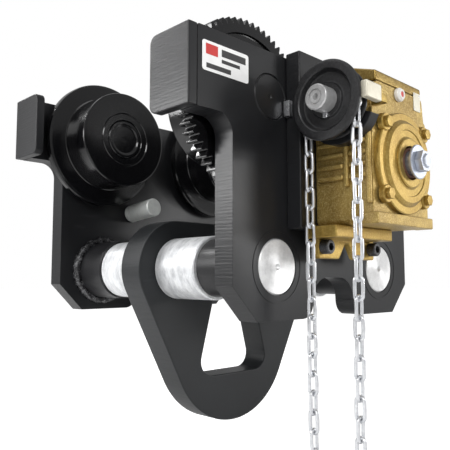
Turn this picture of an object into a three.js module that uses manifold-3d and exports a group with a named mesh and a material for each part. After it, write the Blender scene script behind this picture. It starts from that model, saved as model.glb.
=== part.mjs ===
// Geared beam trolley: two side plates on four flanged wheels, a load plate on two shafts,
// and a worm gearbox that a hand chain drives.
// Millimetres. +X runs along the beam, +Z is up, the driven side plate is at -Y.
// The origin is in the middle of the trolley, on the beam flange that the wheels run on.
import * as THREE from 'three';
import { mergeVertices } from 'three/addons/utils/BufferGeometryUtils.js';
import Module from 'manifold-3d';

const wasm = await Module();
wasm.setup();

// ---- driving dimensions -------------------------------------------------
const GAP = 0.3;                 // left between touching pieces
const PLATE = {
  half: 242, thick: 34, edge: 222, tip: 284, top: 153, hornBottom: 46, hornFillet: 27,
  bottom: -229, chamferX: 47, chamferZ: 48, notchHalf: 52, notchTop: -169, notchFillet: 34, footFillet: 24,
};
const BUMPER = { thick: 15, wide: 80, cornerRadius: 12 };
const SHAFT = { x: 133, z: -154, radius: 40 };
const SLEEVE = { radius: 50, nearLength: 94, farLength: 107 };
const COLLAR = { nearRadius: 45, farRadius: 53, weld: 8 };
const LOAD = {
  thick: 50, eyeRadius: 80, basinRadius: 139, basinZ: -281, openTop: -178, openBottom: -338,
  openTopHalf: 44, openBottomHalf: 88, openTopFillet: 22, openBottomFillet: 26,
};
const WHEEL = {
  x: 146, z: 87, tread: 87, flange: 118, innerFace: 116, flangeFace: 179, hub: 201,
  hubRing: 44, ringWide: 15, ringDeep: 3, web: 60,
};
const GEAR = { module: 4, wheelTeeth: 61, pinionTeeth: 26, backlash: 0.5 };
const AXLE = { radius: 22, headRadius: 33.5, inner: 128, seat: 2 };
const BEARING = { radius: 35.6, bore: 23, from: 136, to: 170 };
const CAP = { radius: 35, thick: 9, dish: 3, lip: 7 };
const OUTPUT = {
  shaft: 17, bolt: 10, tip: -403, step: -386, washerRadius: 24.5, washerFrom: -390,
  nutRadius: 16, nutFrom: -400, seal: 21.6,
};
const BOX = {
  half: 76, back: -268.3, front: -362, bottom: -97, top: 66, wall: 9, towerTop: 102, towerHalf: 66,
  bossRadius: 34, bossEnd: 6,
};
const COVER = {
  radius: 73, thick: 8, ring: 61, boss: 36, front: -376,
  lugX: 54, lugUp: 51, lugDown: -48, lug: 13, boltHead: 9,
};
const PLUG = { x: -5, z: 93, radius: 10, proud: 8 };
const NAMEPLATE = { x: [40, 60], z: [80, 108] };
const LABEL = { x: [-277, -192], z: [94, 134] };
const TOP_CAP = { half: 64, low: 117, high: 129, depth: 38 };
const FOOT = {
  left: -104, right: 42, front: -321, thick: 17, toeLeft: -88, toeRight: 56, bottom: -142, toeThick: 12,
  screwLeft: -78, screwRight: 44, screwZ: -125.5, screwRadius: 10.5, screwHead: 14,
};
const PAD = { half: 112, front: -268, top: 158, bottom: -100 };
const WORM = {
  y: -323, z: 68, shaft: 17.5, crest: 21, core: 16.5, tip: -150, end: 70, threadHalf: 30, turns: 3, teeth: 30,
};
const HAND = {
  flange: 55, rearFlange: 49, pocket: 27, left: -131, right: -100, groove: 8.8, rim: 43, web: 8, hubFace: 5,
  keyWide: 8, keyTall: 7,
};
const CHAIN = { pitchRadius: 39, plane: -114, tube: 8, bottom: -392, bendRadius: 36 };
const GUIDE = { outer: 56, inner: 41 };
const STUB = { x: -66, z: -39, radius: 18, length: 76, lean: 0.1 };

const NEAR = -1;
const FAR = 1;
const LEFT = -1;
const RIGHT = 1;
const SIDES = [[NEAR, 'near'], [FAR, 'far']];
const HANDS = [[LEFT, 'left'], [RIGHT, 'right']];
const inner = PLATE.half - PLATE.thick;
const ROUND = 16;                // sides of a turned piece
const pitchRadius = (teeth) => GEAR.module * teeth / 2;
const centreDistance = pitchRadius(GEAR.wheelTeeth + GEAR.pinionTeeth);
const outputZ = WHEEL.z - Math.sqrt(centreDistance ** 2 - WHEEL.x ** 2);
// a many-sided hole whose flats clear a round piece of this radius
const boreFor = (radius, sides = ROUND) => (radius + GAP) / Math.cos(Math.PI / sides);

// ---- materials ----------------------------------------------------------
function finish(color, roughness, metalness) {
  return new THREE.MeshStandardMaterial({ color, roughness, metalness });
}
const blackPaint = finish(0x1b1c1d, 0.42, 0.1);
const greyPaint = finish(0x34373a, 0.55, 0.1);
const glossBlack = finish(0x0d0d0e, 0.25, 0.1);
const turnedSteel = finish(0xd8d9da, 0.35, 0.9);
const zincSteel = finish(0xb9bec2, 0.45, 0.85);
const goldPaint = finish(0xb8923a, 0.45, 0.35);
const blackOxide = finish(0x141414, 0.5, 0.5);
const bronze = finish(0xa9793a, 0.4, 0.9);
const rubberBrown = finish(0x5a3a22, 0.7, 0);
const labelWhite = finish(0xf2f2f0, 0.5, 0);
const sightGlass = finish(0xd9c9c2, 0.2, 0);

// ---- solid helpers ------------------------------------------------------
function closed(geometry) {
  geometry.deleteAttribute('normal');
  geometry.deleteAttribute('uv');
  const merged = mergeVertices(geometry, 1e-3);
  const old = merged.index.array;
  const at = merged.attributes.position;
  const kept = [];
  for (let i = 0; i < old.length; i += 3) {
    const [a, b, c] = [old[i], old[i + 1], old[i + 2]];
    if (a !== b && b !== c && c !== a) kept.push(a, b, c);
  }
  const point = (i) => new THREE.Vector3().fromBufferAttribute(at, i);
  let volume = 0;
  for (let i = 0; i < kept.length; i += 3) {
    volume += point(kept[i]).dot(point(kept[i + 1]).cross(point(kept[i + 2])));
  }
  if (volume < 0) {
    for (let i = 0; i < kept.length; i += 3) [kept[i], kept[i + 1]] = [kept[i + 1], kept[i]];
  }
  merged.setIndex(kept);
  return merged;
}

function solid(geometry) {
  const mesh = closed(geometry);
  const vertProperties = new Float32Array(mesh.attributes.position.array);
  const triVerts = new Uint32Array(mesh.index.array);
  return new wasm.Manifold(new wasm.Mesh({ numProp: 3, vertProperties, triVerts }));
}

function geometryOf(manifold) {
  const mesh = manifold.getMesh();
  const geometry = new THREE.BufferGeometry();
  geometry.setAttribute('position', new THREE.BufferAttribute(Float32Array.from(mesh.vertProperties), 3));
  geometry.setIndex(Array.from(mesh.triVerts));
  return geometry;
}

const join = (first, ...rest) => rest.reduce((sum, geometry) => sum.add(solid(geometry)), solid(first));
const cut = (manifold, ...rest) => rest.reduce((left, geometry) => left.subtract(solid(geometry)), manifold);

function polar(x, z, radius, angle) {
  return new THREE.Vector2(x + radius * Math.cos(angle), z + radius * Math.sin(angle));
}

// points of an arc, both ends included; angles in radians
function arc(x, z, radius, from, to, steps) {
  return Array.from({ length: steps + 1 }, (_, i) => polar(x, z, radius, from + (to - from) * i / steps));
}

// polygon of [x, z, fillet radius] corners with its corners rounded
function rounded(corners, steps = 4) {
  return corners.flatMap(([x, z, radius = 0], i) => {
    const here = new THREE.Vector2(x, z);
    if (radius === 0) return [here];
    const before = new THREE.Vector2(...corners.at(i - 1).slice(0, 2)).sub(here).normalize();
    const after = new THREE.Vector2(...corners[(i + 1) % corners.length].slice(0, 2)).sub(here).normalize();
    const half = Math.acos(before.dot(after)) / 2;
    const centre = before.clone().add(after).normalize().multiplyScalar(radius / Math.sin(half)).add(here);
    const start = here.clone().addScaledVector(before, radius / Math.tan(half)).sub(centre).angle();
    const end = here.clone().addScaledVector(after, radius / Math.tan(half)).sub(centre).angle();
    const turn = Math.atan2(Math.sin(end - start), Math.cos(end - start));
    return arc(centre.x, centre.y, radius, start, start + turn, steps);
  });
}

const circle = (x, z, radius, sides = ROUND) => arc(x, z, radius, 0, 2 * Math.PI, sides).slice(0, -1);

function shapeOf(outline, holes) {
  const shape = new THREE.Shape(THREE.ShapeUtils.isClockWise(outline) ? outline.toReversed() : outline);
  shape.holes = holes.map((points) => new THREE.Path(points));
  return shape;
}

// outline in the XZ plane, extruded between two Y values
function slab(outline, yFrom, yTo, holes = []) {
  const shape = shapeOf(outline, holes);
  const geometry = new THREE.ExtrudeGeometry(shape, { depth: yTo - yFrom, bevelEnabled: false });
  return geometry.rotateX(Math.PI / 2).translate(0, yTo, 0);
}

// outline in the YZ plane, extruded between two X values
function slabX(outline, xFrom, xTo, holes = []) {
  const shape = shapeOf(outline, holes);
  const geometry = new THREE.ExtrudeGeometry(shape, { depth: xTo - xFrom, bevelEnabled: false });
  return geometry.rotateX(Math.PI / 2).rotateZ(Math.PI / 2).translate(xFrom, 0, 0);
}

function box(x, y, z) {
  const geometry = new THREE.BoxGeometry(x[1] - x[0], y[1] - y[0], z[1] - z[0]);
  return geometry.translate((x[0] + x[1]) / 2, (y[0] + y[1]) / 2, (z[0] + z[1]) / 2);
}

// turned piece about the Y axis from [radius, y] points; a tube's profile closes on itself
function turned(profile, x = 0, z = 0, sides = ROUND) {
  const points = profile.map(([radius, y]) => new THREE.Vector2(radius, y));
  return new THREE.LatheGeometry(points, sides).rotateY(Math.PI / 2).translate(x, 0, z);
}

function rod(radius, yFrom, yTo, x, z, sides) {
  return turned([[0, yFrom], [radius, yFrom], [radius, yTo], [0, yTo]], x, z, sides);
}

function tube(outer, bore, yFrom, yTo, x, z, sides) {
  return turned([[bore, yFrom], [outer, yFrom], [outer, yTo], [bore, yTo], [bore, yFrom]], x, z, sides);
}

// turned piece about the worm's axis from [radius, x] points
function turnedX(profile, sides = ROUND) {
  const points = profile.map(([radius, x]) => new THREE.Vector2(radius, x));
  return new THREE.LatheGeometry(points, sides).rotateZ(-Math.PI / 2).translate(0, WORM.y, WORM.z);
}

// spur gear outline about (x, z); a tooth points at `phase`
function gearOutline(teeth, x, z, phase) {
  const pitch = 2 * Math.PI / teeth;
  const reach = pitchRadius(teeth);
  const slack = GEAR.backlash / reach;
  const rootHalf = pitch * 0.37 - slack;
  const tipHalf = pitch * 0.13 - slack / 2;
  const root = reach - 1.25 * GEAR.module;
  const tip = reach + GEAR.module;
  return Array.from({ length: teeth }, (_, i) => phase + i * pitch).flatMap((angle) => [
    polar(x, z, root, angle - rootHalf),
    ...arc(x, z, tip, angle - tipHalf, angle + tipHalf, 1),
    polar(x, z, root, angle + rootHalf),
  ]);
}

const trolley = new THREE.Group();
trolley.name = 'beam_trolley';
function add(name, geometry, material) {
  const mesh = new THREE.Mesh(closed(geometry), material);
  mesh.name = name;
  trolley.add(mesh);
}

// ---- side plates --------------------------------------------------------
function sidePlate(side) {
  const leg = PLATE.edge - PLATE.chamferX;
  const half = [
    [PLATE.tip, PLATE.top], [PLATE.tip, PLATE.hornBottom], [PLATE.edge, PLATE.hornBottom, PLATE.hornFillet],
    [PLATE.edge, PLATE.bottom + PLATE.chamferZ], [leg, PLATE.bottom],
    [PLATE.notchHalf, PLATE.bottom, PLATE.footFillet], [PLATE.notchHalf, PLATE.notchTop, PLATE.notchFillet],
  ];
  const mirrored = half.toReversed().map(([x, z, radius]) => [-x, z, radius]);
  const outline = rounded([...half, ...mirrored], 5);
  const holes = HANDS.flatMap(([hand]) => [
    circle(hand * SHAFT.x, SHAFT.z, boreFor(SHAFT.radius)),
    circle(hand * WHEEL.x, WHEEL.z, boreFor(AXLE.headRadius)),
  ]);
  if (side === NEAR) holes.push(circle(0, outputZ, boreFor(OUTPUT.shaft + 8)));
  const [from, to] = side === NEAR ? [-PLATE.half, -inner] : [inner, PLATE.half];
  return slab(outline, from, to, holes);
}

function bumperPlate(side, hand) {
  const outer = side * PLATE.half;
  const inward = side * (PLATE.half - BUMPER.wide);
  const corners = [
    [outer, PLATE.hornBottom], [outer, PLATE.top],
    [inward, PLATE.top, BUMPER.cornerRadius], [inward, PLATE.hornBottom, BUMPER.cornerRadius],
  ];
  const near = PLATE.tip + GAP;
  const [from, to] = hand === RIGHT ? [near, near + BUMPER.thick] : [-near - BUMPER.thick, -near];
  return slabX(rounded(corners, 4), from, to);
}

for (const [side, sideName] of SIDES) {
  add(`${sideName}_side_plate`, sidePlate(side), blackPaint);
  for (const [hand, handName] of HANDS) {
    add(`bumper_plate_${sideName}_${handName}`, bumperPlate(side, hand), blackPaint);
  }
}

// ---- load shafts, sleeves and collars -----------------------------------
const loadHalf = LOAD.thick / 2;
for (const [hand, handName] of HANDS) {
  const x = hand * SHAFT.x;
  const shaftEnd = PLATE.half;
  add(`load_shaft_${handName}`, rod(SHAFT.radius, -shaftEnd, shaftEnd, x, SHAFT.z), turnedSteel);
  const bore = boreFor(SHAFT.radius);
  const nearSplit = loadHalf + SLEEVE.nearLength;
  const farSplit = loadHalf + SLEEVE.farLength;
  const nearSleeve = tube(SLEEVE.radius, bore, -nearSplit, -loadHalf - GAP, x, SHAFT.z);
  const farSleeve = tube(SLEEVE.radius, bore, loadHalf + GAP, farSplit, x, SHAFT.z);
  add(`sleeve_near_${handName}`, nearSleeve, zincSteel);
  add(`sleeve_far_${handName}`, farSleeve, zincSteel);
  add(`collar_near_${handName}`, turned([
    [bore, -inner + GAP], [COLLAR.nearRadius + COLLAR.weld, -inner + GAP],
    [COLLAR.nearRadius, -inner + GAP + COLLAR.weld], [COLLAR.nearRadius, -nearSplit - GAP],
    [bore, -nearSplit - GAP], [bore, -inner + GAP],
  ], x, SHAFT.z), blackPaint);
  add(`collar_far_${handName}`, turned([
    [bore, farSplit + GAP], [COLLAR.farRadius, farSplit + GAP],
    [COLLAR.farRadius, inner - GAP - COLLAR.weld], [COLLAR.farRadius + COLLAR.weld, inner - GAP],
    [bore, inner - GAP], [bore, farSplit + GAP],
  ], x, SHAFT.z), blackPaint);
}

// ---- load plate: two eyes, a round basin between them, and one opening ---
function loadPlate() {
  // the straight sides are tangent to the eye's circle and to the basin's circle
  const rise = SHAFT.z - LOAD.basinZ;
  const apart = Math.hypot(SHAFT.x, rise);
  const touch = Math.atan2(rise, SHAFT.x) - Math.acos((LOAD.basinRadius - LOAD.eyeRadius) / apart);
  const outline = [
    ...arc(SHAFT.x, SHAFT.z, LOAD.eyeRadius, Math.PI / 2, touch, 10),
    ...arc(0, LOAD.basinZ, LOAD.basinRadius, touch, -Math.PI - touch, 16),
    ...arc(-SHAFT.x, SHAFT.z, LOAD.eyeRadius, -Math.PI - touch, -3 * Math.PI / 2, 10),
  ];
  const opening = rounded([
    [LOAD.openTopHalf, LOAD.openTop, LOAD.openTopFillet],
    [LOAD.openBottomHalf, LOAD.openBottom, LOAD.openBottomFillet],
    [-LOAD.openBottomHalf, LOAD.openBottom, LOAD.openBottomFillet],
    [-LOAD.openTopHalf, LOAD.openTop, LOAD.openTopFillet],
  ], 6);
  const bores = HANDS.map(([hand]) => circle(hand * SHAFT.x, SHAFT.z, boreFor(SHAFT.radius)));
  return slab(outline, -loadHalf, loadHalf, [opening, ...bores]);
}
add('load_plate', loadPlate(), greyPaint);

// ---- wheels, axles, bearings and caps -----------------------------------
// the pinion has a tooth at angle 0; each wheel gear is turned to fit it
function wheelPhase(hand) {
  const toWheel = Math.atan2(WHEEL.z - outputZ, hand * WHEEL.x);
  const pinionPitch = 2 * Math.PI / GEAR.pinionTeeth;
  const past = toWheel - Math.floor(toWheel / pinionPitch) * pinionPitch;
  return toWheel + Math.PI + past * GEAR.pinionTeeth / GEAR.wheelTeeth + Math.PI / GEAR.wheelTeeth;
}

function wheel(side, hand) {
  const x = hand * WHEEL.x;
  const body = [
    [boreFor(BEARING.radius), WHEEL.hub], [boreFor(BEARING.radius), WHEEL.innerFace],
    [WHEEL.hubRing, WHEEL.innerFace], [WHEEL.hubRing + 2, WHEEL.innerFace + WHEEL.ringDeep],
    [WHEEL.hubRing + WHEEL.ringWide - 3, WHEEL.innerFace + WHEEL.ringDeep],
    [WHEEL.hubRing + WHEEL.ringWide, WHEEL.innerFace],
    [WHEEL.tread - 3, WHEEL.innerFace], [WHEEL.tread, WHEEL.innerFace + 3],
    [WHEEL.tread, WHEEL.flangeFace],
  ];
  const far = [
    ...body, [WHEEL.flange, WHEEL.flangeFace + 5], [WHEEL.flange, WHEEL.hub - 4], [WHEEL.web, WHEEL.hub],
  ];
  const near = [...body, [WHEEL.web, WHEEL.flangeFace], [WHEEL.web, WHEEL.hub]];
  const profile = [...(side === FAR ? far : near), body[0]].map(([radius, y]) => [radius, side * y]);
  const lathe = turned(profile, x, WHEEL.z, 24);
  if (side === FAR) return lathe;
  const teeth = gearOutline(GEAR.wheelTeeth, x, WHEEL.z, wheelPhase(hand));
  const gear = slab(teeth, -WHEEL.hub, -WHEEL.flangeFace + 2, [circle(x, WHEEL.z, WHEEL.web - 10)]);
  return geometryOf(join(lathe, gear));
}

for (const [side, sideName] of SIDES) {
  for (const [hand, handName] of HANDS) {
    const place = `${sideName}_${handName}`;
    const x = hand * WHEEL.x;
    const along = (profile) => turned(profile.map(([radius, y]) => [radius, side * y]), x, WHEEL.z);
    add(`wheel_${place}`, wheel(side, hand), glossBlack);
    add(`axle_${place}`, along([
      [0, PLATE.half], [AXLE.headRadius, PLATE.half], [AXLE.headRadius, inner - AXLE.seat],
      [AXLE.radius, inner - AXLE.seat], [AXLE.radius, AXLE.inner], [0, AXLE.inner],
    ]), turnedSteel);
    add(`bearing_${place}`, along([
      [BEARING.bore, BEARING.from], [BEARING.radius, BEARING.from], [BEARING.radius, BEARING.to],
      [BEARING.bore, BEARING.to], [BEARING.bore, BEARING.from],
    ]), turnedSteel);
    add(`wheel_cap_${place}`, along([
      [0, WHEEL.innerFace + CAP.dish], [CAP.radius - CAP.lip - 2, WHEEL.innerFace + CAP.dish],
      [CAP.radius - CAP.lip, WHEEL.innerFace], [CAP.radius, WHEEL.innerFace + 1],
      [CAP.radius, WHEEL.innerFace + CAP.thick], [0, WHEEL.innerFace + CAP.thick],
    ]), glossBlack);
  }
}

// ---- output shaft, pinion and worm wheel --------------------------------
const outputBore = boreFor(OUTPUT.shaft);
const pinionFrom = -WHEEL.hub - 1;
const pinionTo = -WHEEL.flangeFace + 1;
const bushRadius = OUTPUT.shaft + 7.5;
const shaftInner = pinionTo + 5;
add('output_shaft', turned([
  [0, shaftInner], [OUTPUT.shaft, shaftInner], [OUTPUT.shaft, OUTPUT.step],
  [OUTPUT.bolt, OUTPUT.step - 0.1], [OUTPUT.bolt, OUTPUT.tip + 2],
  [OUTPUT.bolt - 2, OUTPUT.tip], [0, OUTPUT.tip],
], 0, outputZ), zincSteel);
const pinionTeeth = gearOutline(GEAR.pinionTeeth, 0, outputZ, 0);
add('pinion', slab(pinionTeeth, pinionFrom, pinionTo, [circle(0, outputZ, outputBore)]), blackOxide);
add('pinion_bush', tube(bushRadius, outputBore, PAD.front + 1, pinionFrom - 2, 0, outputZ), bronze);

const wormGap = 0.6;
const wormWheelTip = WORM.z - outputZ - WORM.crest - wormGap;
function wormWheel() {
  const depth = 5;
  const halfWide = 13;
  const pitch = 2 * Math.PI / WORM.teeth;
  const outline = Array.from({ length: WORM.teeth }, (_, i) => i * pitch).flatMap((angle) => [
    ...arc(0, outputZ, wormWheelTip, angle, angle + pitch * 0.4, 1),
    ...arc(0, outputZ, wormWheelTip - depth, angle + pitch * 0.55, angle + pitch * 0.85, 1),
  ]);
  return slab(outline, WORM.y - halfWide, WORM.y + halfWide, [circle(0, outputZ, outputBore)]);
}
add('worm_wheel', wormWheel(), bronze);

// ---- worm shaft and hand wheel ------------------------------------------
class Helix extends THREE.Curve {
  getPoint(t) {
    const angle = 2 * Math.PI * WORM.turns * t;
    const radius = WORM.crest - 3;
    const x = (WORM.threadHalf - 8) * (2 * t - 1);
    return new THREE.Vector3(x, WORM.y + radius * Math.cos(angle), WORM.z + radius * Math.sin(angle));
  }
}
function wormShaft() {
  const shoulder = WORM.threadHalf + 4;
  const inside = WORM.end - 10;
  const core = turnedX([
    [0, WORM.tip], [WORM.shaft - 1.5, WORM.tip], [WORM.shaft, WORM.tip + 1.5], [WORM.shaft, -shoulder],
    [WORM.core, -WORM.threadHalf], [WORM.core, WORM.threadHalf], [WORM.shaft, shoulder],
    [WORM.shaft, inside], [0, inside],
  ]);
  const section = new THREE.Shape(circle(0, 0, 2.4, 4));
  const threadPath = { steps: 36, bevelEnabled: false, extrudePath: new Helix() };
  const thread = new THREE.ExtrudeGeometry(section, threadPath);
  return geometryOf(join(core, thread));
}
add('worm_shaft', wormShaft(), turnedSteel);

function handWheel() {
  const hub = WORM.shaft + 7;
  const bore = boreFor(WORM.shaft);
  const grooveLeft = CHAIN.plane - HAND.groove;
  const grooveRight = CHAIN.plane + HAND.groove;
  const lathe = turnedX([
    [bore, HAND.left + HAND.hubFace], [hub, HAND.left + HAND.hubFace], [hub + 2, HAND.left + HAND.web],
    [HAND.rim - 4, HAND.left + HAND.web], [HAND.rim, HAND.left], [HAND.flange - 3, HAND.left],
    [HAND.flange, HAND.left + 2], [HAND.flange, grooveLeft - 2], [HAND.flange - 4, grooveLeft],
    [HAND.pocket, grooveLeft], [HAND.pocket, grooveRight], [HAND.rearFlange - 2, grooveRight],
    [HAND.rearFlange, grooveRight + 1.5], [HAND.rearFlange, HAND.right - 1.5],
    [HAND.rearFlange - 1.5, HAND.right], [bore, HAND.right], [bore, HAND.left + HAND.hubFace],
  ], 24);
  const slot = box([HAND.left, HAND.right + 1], [WORM.y - HAND.keyWide / 2, WORM.y + HAND.keyWide / 2],
    [WORM.z - WORM.shaft - HAND.keyTall, WORM.z]);
  return geometryOf(cut(solid(lathe), slot));
}
add('hand_wheel', handWheel(), blackOxide);
const keyHalf = HAND.keyWide / 2 - GAP;
add('hand_wheel_key', box([HAND.left + 2, HAND.right], [WORM.y - keyHalf, WORM.y + keyHalf],
  [WORM.z - WORM.shaft - HAND.keyTall + GAP, WORM.z - WORM.shaft - GAP]), zincSteel);

// ---- gearbox ------------------------------------------------------------
const wormHole = WORM.crest + 2;
function housing() {
  const body = slab(rounded([
    [-BOX.half, BOX.bottom, 10], [BOX.half, BOX.bottom, 10], [BOX.half, BOX.top, 6], [-BOX.half, BOX.top, 6],
  ]), BOX.front, BOX.back);
  const tower = slab(rounded([
    [-BOX.half + 2, BOX.top - 20], [BOX.half - 2, BOX.top - 20],
    [BOX.towerHalf, BOX.towerTop, 8], [-BOX.towerHalf, BOX.towerTop, 8],
  ]), BOX.front, BOX.back);
  const boss = turnedX([
    [0, -BOX.half - 2], [BOX.bossRadius, -BOX.half - 2], [BOX.bossRadius, BOX.half + BOX.bossEnd],
    [0, BOX.half + BOX.bossEnd],
  ]);
  const cavity = rod(wormWheelTip + 2, BOX.front - 1, BOX.back - BOX.wall, 0, outputZ, 20);
  const wormSpace = turnedX([
    [0, -BOX.half - 20], [wormHole, -BOX.half - 20], [wormHole, WORM.end], [0, WORM.end],
  ]);
  const outputHole = rod(outputBore + 2, BOX.back - BOX.wall - 5, BOX.back + 5, 0, outputZ);
  return geometryOf(cut(join(body, tower, boss), cavity, wormSpace, outputHole));
}
add('gearbox_housing', housing(), goldPaint);

function cover() {
  const plateFront = BOX.front - COVER.thick;
  const plateBack = BOX.front - GAP;
  const flange = rod(COVER.radius, plateFront, plateBack, 0, outputZ, 32);
  const lugs = HANDS.flatMap(([hand]) => [COVER.lugUp, COVER.lugDown].map(
    (level) => rod(COVER.lug, plateFront, plateBack, hand * COVER.lugX, outputZ + level),
  ));
  const ring = rod(COVER.ring, COVER.front, plateFront + 2, 0, outputZ, 32);
  const boss = rod(COVER.boss, COVER.front - 2, COVER.front + 2, 0, outputZ);
  const hole = rod(boreFor(OUTPUT.seal + 0.4), COVER.front - 20, BOX.front + 20, 0, outputZ);
  return geometryOf(cut(join(flange, ...lugs, ring, boss), hole));
}
add('gearbox_cover', cover(), goldPaint);

function topCap() {
  const back = BOX.back - 8;
  const profile = [
    [BOX.front, BOX.towerTop + 1], [BOX.front, TOP_CAP.low, 4],
    [BOX.front + TOP_CAP.depth, TOP_CAP.high, 4], [back, TOP_CAP.high, 4], [back, BOX.towerTop + 1],
  ];
  return slabX(rounded(profile, 3), -TOP_CAP.half, TOP_CAP.half);
}
add('gearbox_top_cap', topCap(), goldPaint);

function footBracket() {
  const shelfTop = BOX.bottom - GAP;
  const back = PAD.front - GAP;
  const shelf = box([FOOT.left, FOOT.right], [FOOT.front, back], [shelfTop - FOOT.thick, shelfTop]);
  const toe = slab(rounded([
    [FOOT.toeLeft, shelfTop - 5], [FOOT.toeLeft, FOOT.bottom, 3], [-38, FOOT.bottom, 3], [-22, shelfTop - 21],
    [-12, shelfTop - 21], [4, FOOT.bottom, 3], [FOOT.toeRight, FOOT.bottom, 3], [FOOT.toeRight, shelfTop - 5],
  ], 2), PAD.front - FOOT.toeThick, back);
  return geometryOf(join(shelf, toe));
}
add('foot_bracket', footBracket(), goldPaint);
const bushHole = circle(0, outputZ, boreFor(bushRadius + 0.5));
add('gearbox_pad', slab(rounded([
  [-PAD.half, PAD.bottom], [PAD.half, PAD.bottom], [PAD.half, PAD.top], [-PAD.half, PAD.top],
]), PAD.front, -PLATE.half - GAP, [bushHole]), blackPaint);

// ---- fasteners and trim on the gearbox ----------------------------------
function capScrew(x, z, face, radius, head) {
  const socket = radius * 0.5;
  const outer = slab(circle(x, z, radius, 20), face - head, face - GAP);
  return geometryOf(cut(solid(outer), slab(circle(x, z, socket, 6), face - head - 1, face - head * 0.45)));
}
for (const [x, handName] of [[FOOT.screwLeft, 'left'], [FOOT.screwRight, 'right']]) {
  const screw = capScrew(x, FOOT.screwZ, PAD.front - FOOT.toeThick, FOOT.screwRadius, FOOT.screwHead);
  add(`foot_screw_${handName}`, screw, blackOxide);
}
for (const [hand, handName] of HANDS) {
  for (const [level, levelName] of [[COVER.lugUp, 'top'], [COVER.lugDown, 'bottom']]) {
    const head = circle(hand * COVER.lugX, outputZ + level, COVER.boltHead, 6);
    const face = BOX.front - COVER.thick;
    add(`cover_bolt_${levelName}_${handName}`, slab(head, face - COVER.thick, face - GAP), goldPaint);
  }
}
const seal = tube(OUTPUT.seal, outputBore, COVER.front + 6, COVER.front - 1.5, 0, outputZ);
add('output_seal', seal, rubberBrown);
const boltBore = boreFor(OUTPUT.bolt);
const washer = tube(OUTPUT.washerRadius, boltBore, OUTPUT.washerFrom, OUTPUT.step - GAP, 0, outputZ);
add('output_washer', washer, zincSteel);
const hexagon = circle(0, outputZ, OUTPUT.nutRadius, 6);
const nutHole = circle(0, outputZ, boltBore);
add('output_nut', slab(hexagon, OUTPUT.nutFrom, OUTPUT.washerFrom - GAP, [nutHole]), zincSteel);

// flat and round trim on the front of the tower, and the label on the plate
const plugFace = BOX.front - PLUG.proud;
add('oil_sight_plug', turned([
  [0, BOX.front - GAP], [PLUG.radius, BOX.front - GAP], [PLUG.radius, plugFace + 2],
  [PLUG.radius - 3, plugFace], [0, plugFace],
], PLUG.x, PLUG.z), sightGlass);
add('gearbox_nameplate', box(NAMEPLATE.x, [BOX.front - 1.5, BOX.front - GAP], NAMEPLATE.z), zincSteel);
add('rating_label', box(LABEL.x, [-PLATE.half - 1.3, -PLATE.half - GAP], LABEL.z), labelWhite);

// ---- chain guide and the hand chain ---------------------------------------
function chainGuide() {
  const from = HAND.right + 2;
  const strap = slabX([
    ...arc(WORM.y, WORM.z, GUIDE.outer, Math.PI * 1.12, Math.PI * 1.88, 10),
    ...arc(WORM.y, WORM.z, GUIDE.inner, Math.PI * 1.88, Math.PI * 1.12, 10),
  ], from, -BOX.half - 2 - GAP);
  return geometryOf(solid(strap));
}
add('chain_guide', chainGuide(), blackPaint);

class ChainLoop extends THREE.CurvePath {
  constructor() {
    super();
    const r = CHAIN.pitchRadius;
    const point = (y, z) => new THREE.Vector3(CHAIN.plane, y, z);
    const bend = (y, z, radius, from, to, steps) => {
      const points = arc(y, z, radius, from, to, steps).map((p) => point(p.x, p.y));
      for (let i = 1; i < points.length; i += 1) this.add(new THREE.LineCurve3(points[i - 1], points[i]));
    };
    bend(WORM.y, WORM.z, r, Math.PI * 0.46, -0.02, 8);
    this.add(new THREE.LineCurve3(point(WORM.y + r, WORM.z), point(WORM.y + CHAIN.bendRadius, CHAIN.bottom)));
    bend(WORM.y, CHAIN.bottom, CHAIN.bendRadius, 0, -Math.PI, 10);
    this.add(new THREE.LineCurve3(point(WORM.y - CHAIN.bendRadius, CHAIN.bottom), point(WORM.y - r, WORM.z)));
    bend(WORM.y, WORM.z, r, Math.PI, Math.PI * 0.54, 8);
  }
}

const section = new THREE.Shape(circle(0, 0, CHAIN.tube, 8));
const chainPath = { steps: 44, bevelEnabled: false, extrudePath: new ChainLoop() };
add('hand_chain', new THREE.ExtrudeGeometry(section, chainPath), zincSteel);

// ---- anti-tilt stub on the far plate ------------------------------------
const stub = new THREE.CylinderGeometry(STUB.radius, STUB.radius, STUB.length, 20);
stub.translate(0, -STUB.length / 2, 0).rotateX(-STUB.lean).translate(STUB.x, inner - 2.2, STUB.z);
add('anti_tilt_stub', stub, zincSteel);

export default trolley;
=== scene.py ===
"""Detailed model of a geared beam trolley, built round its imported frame.

Metres, +X along the beam, +Z up, the geared side plate at -Y. The origin is in the middle of the
trolley, on the beam flange that the wheels run on.
"""
import logging
import math
import random
from contextlib import contextmanager
from dataclasses import dataclass
from enum import Enum
from typing import Callable, Iterator, Sequence

import bmesh
import bpy
from mathutils import Matrix, Vector


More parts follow.
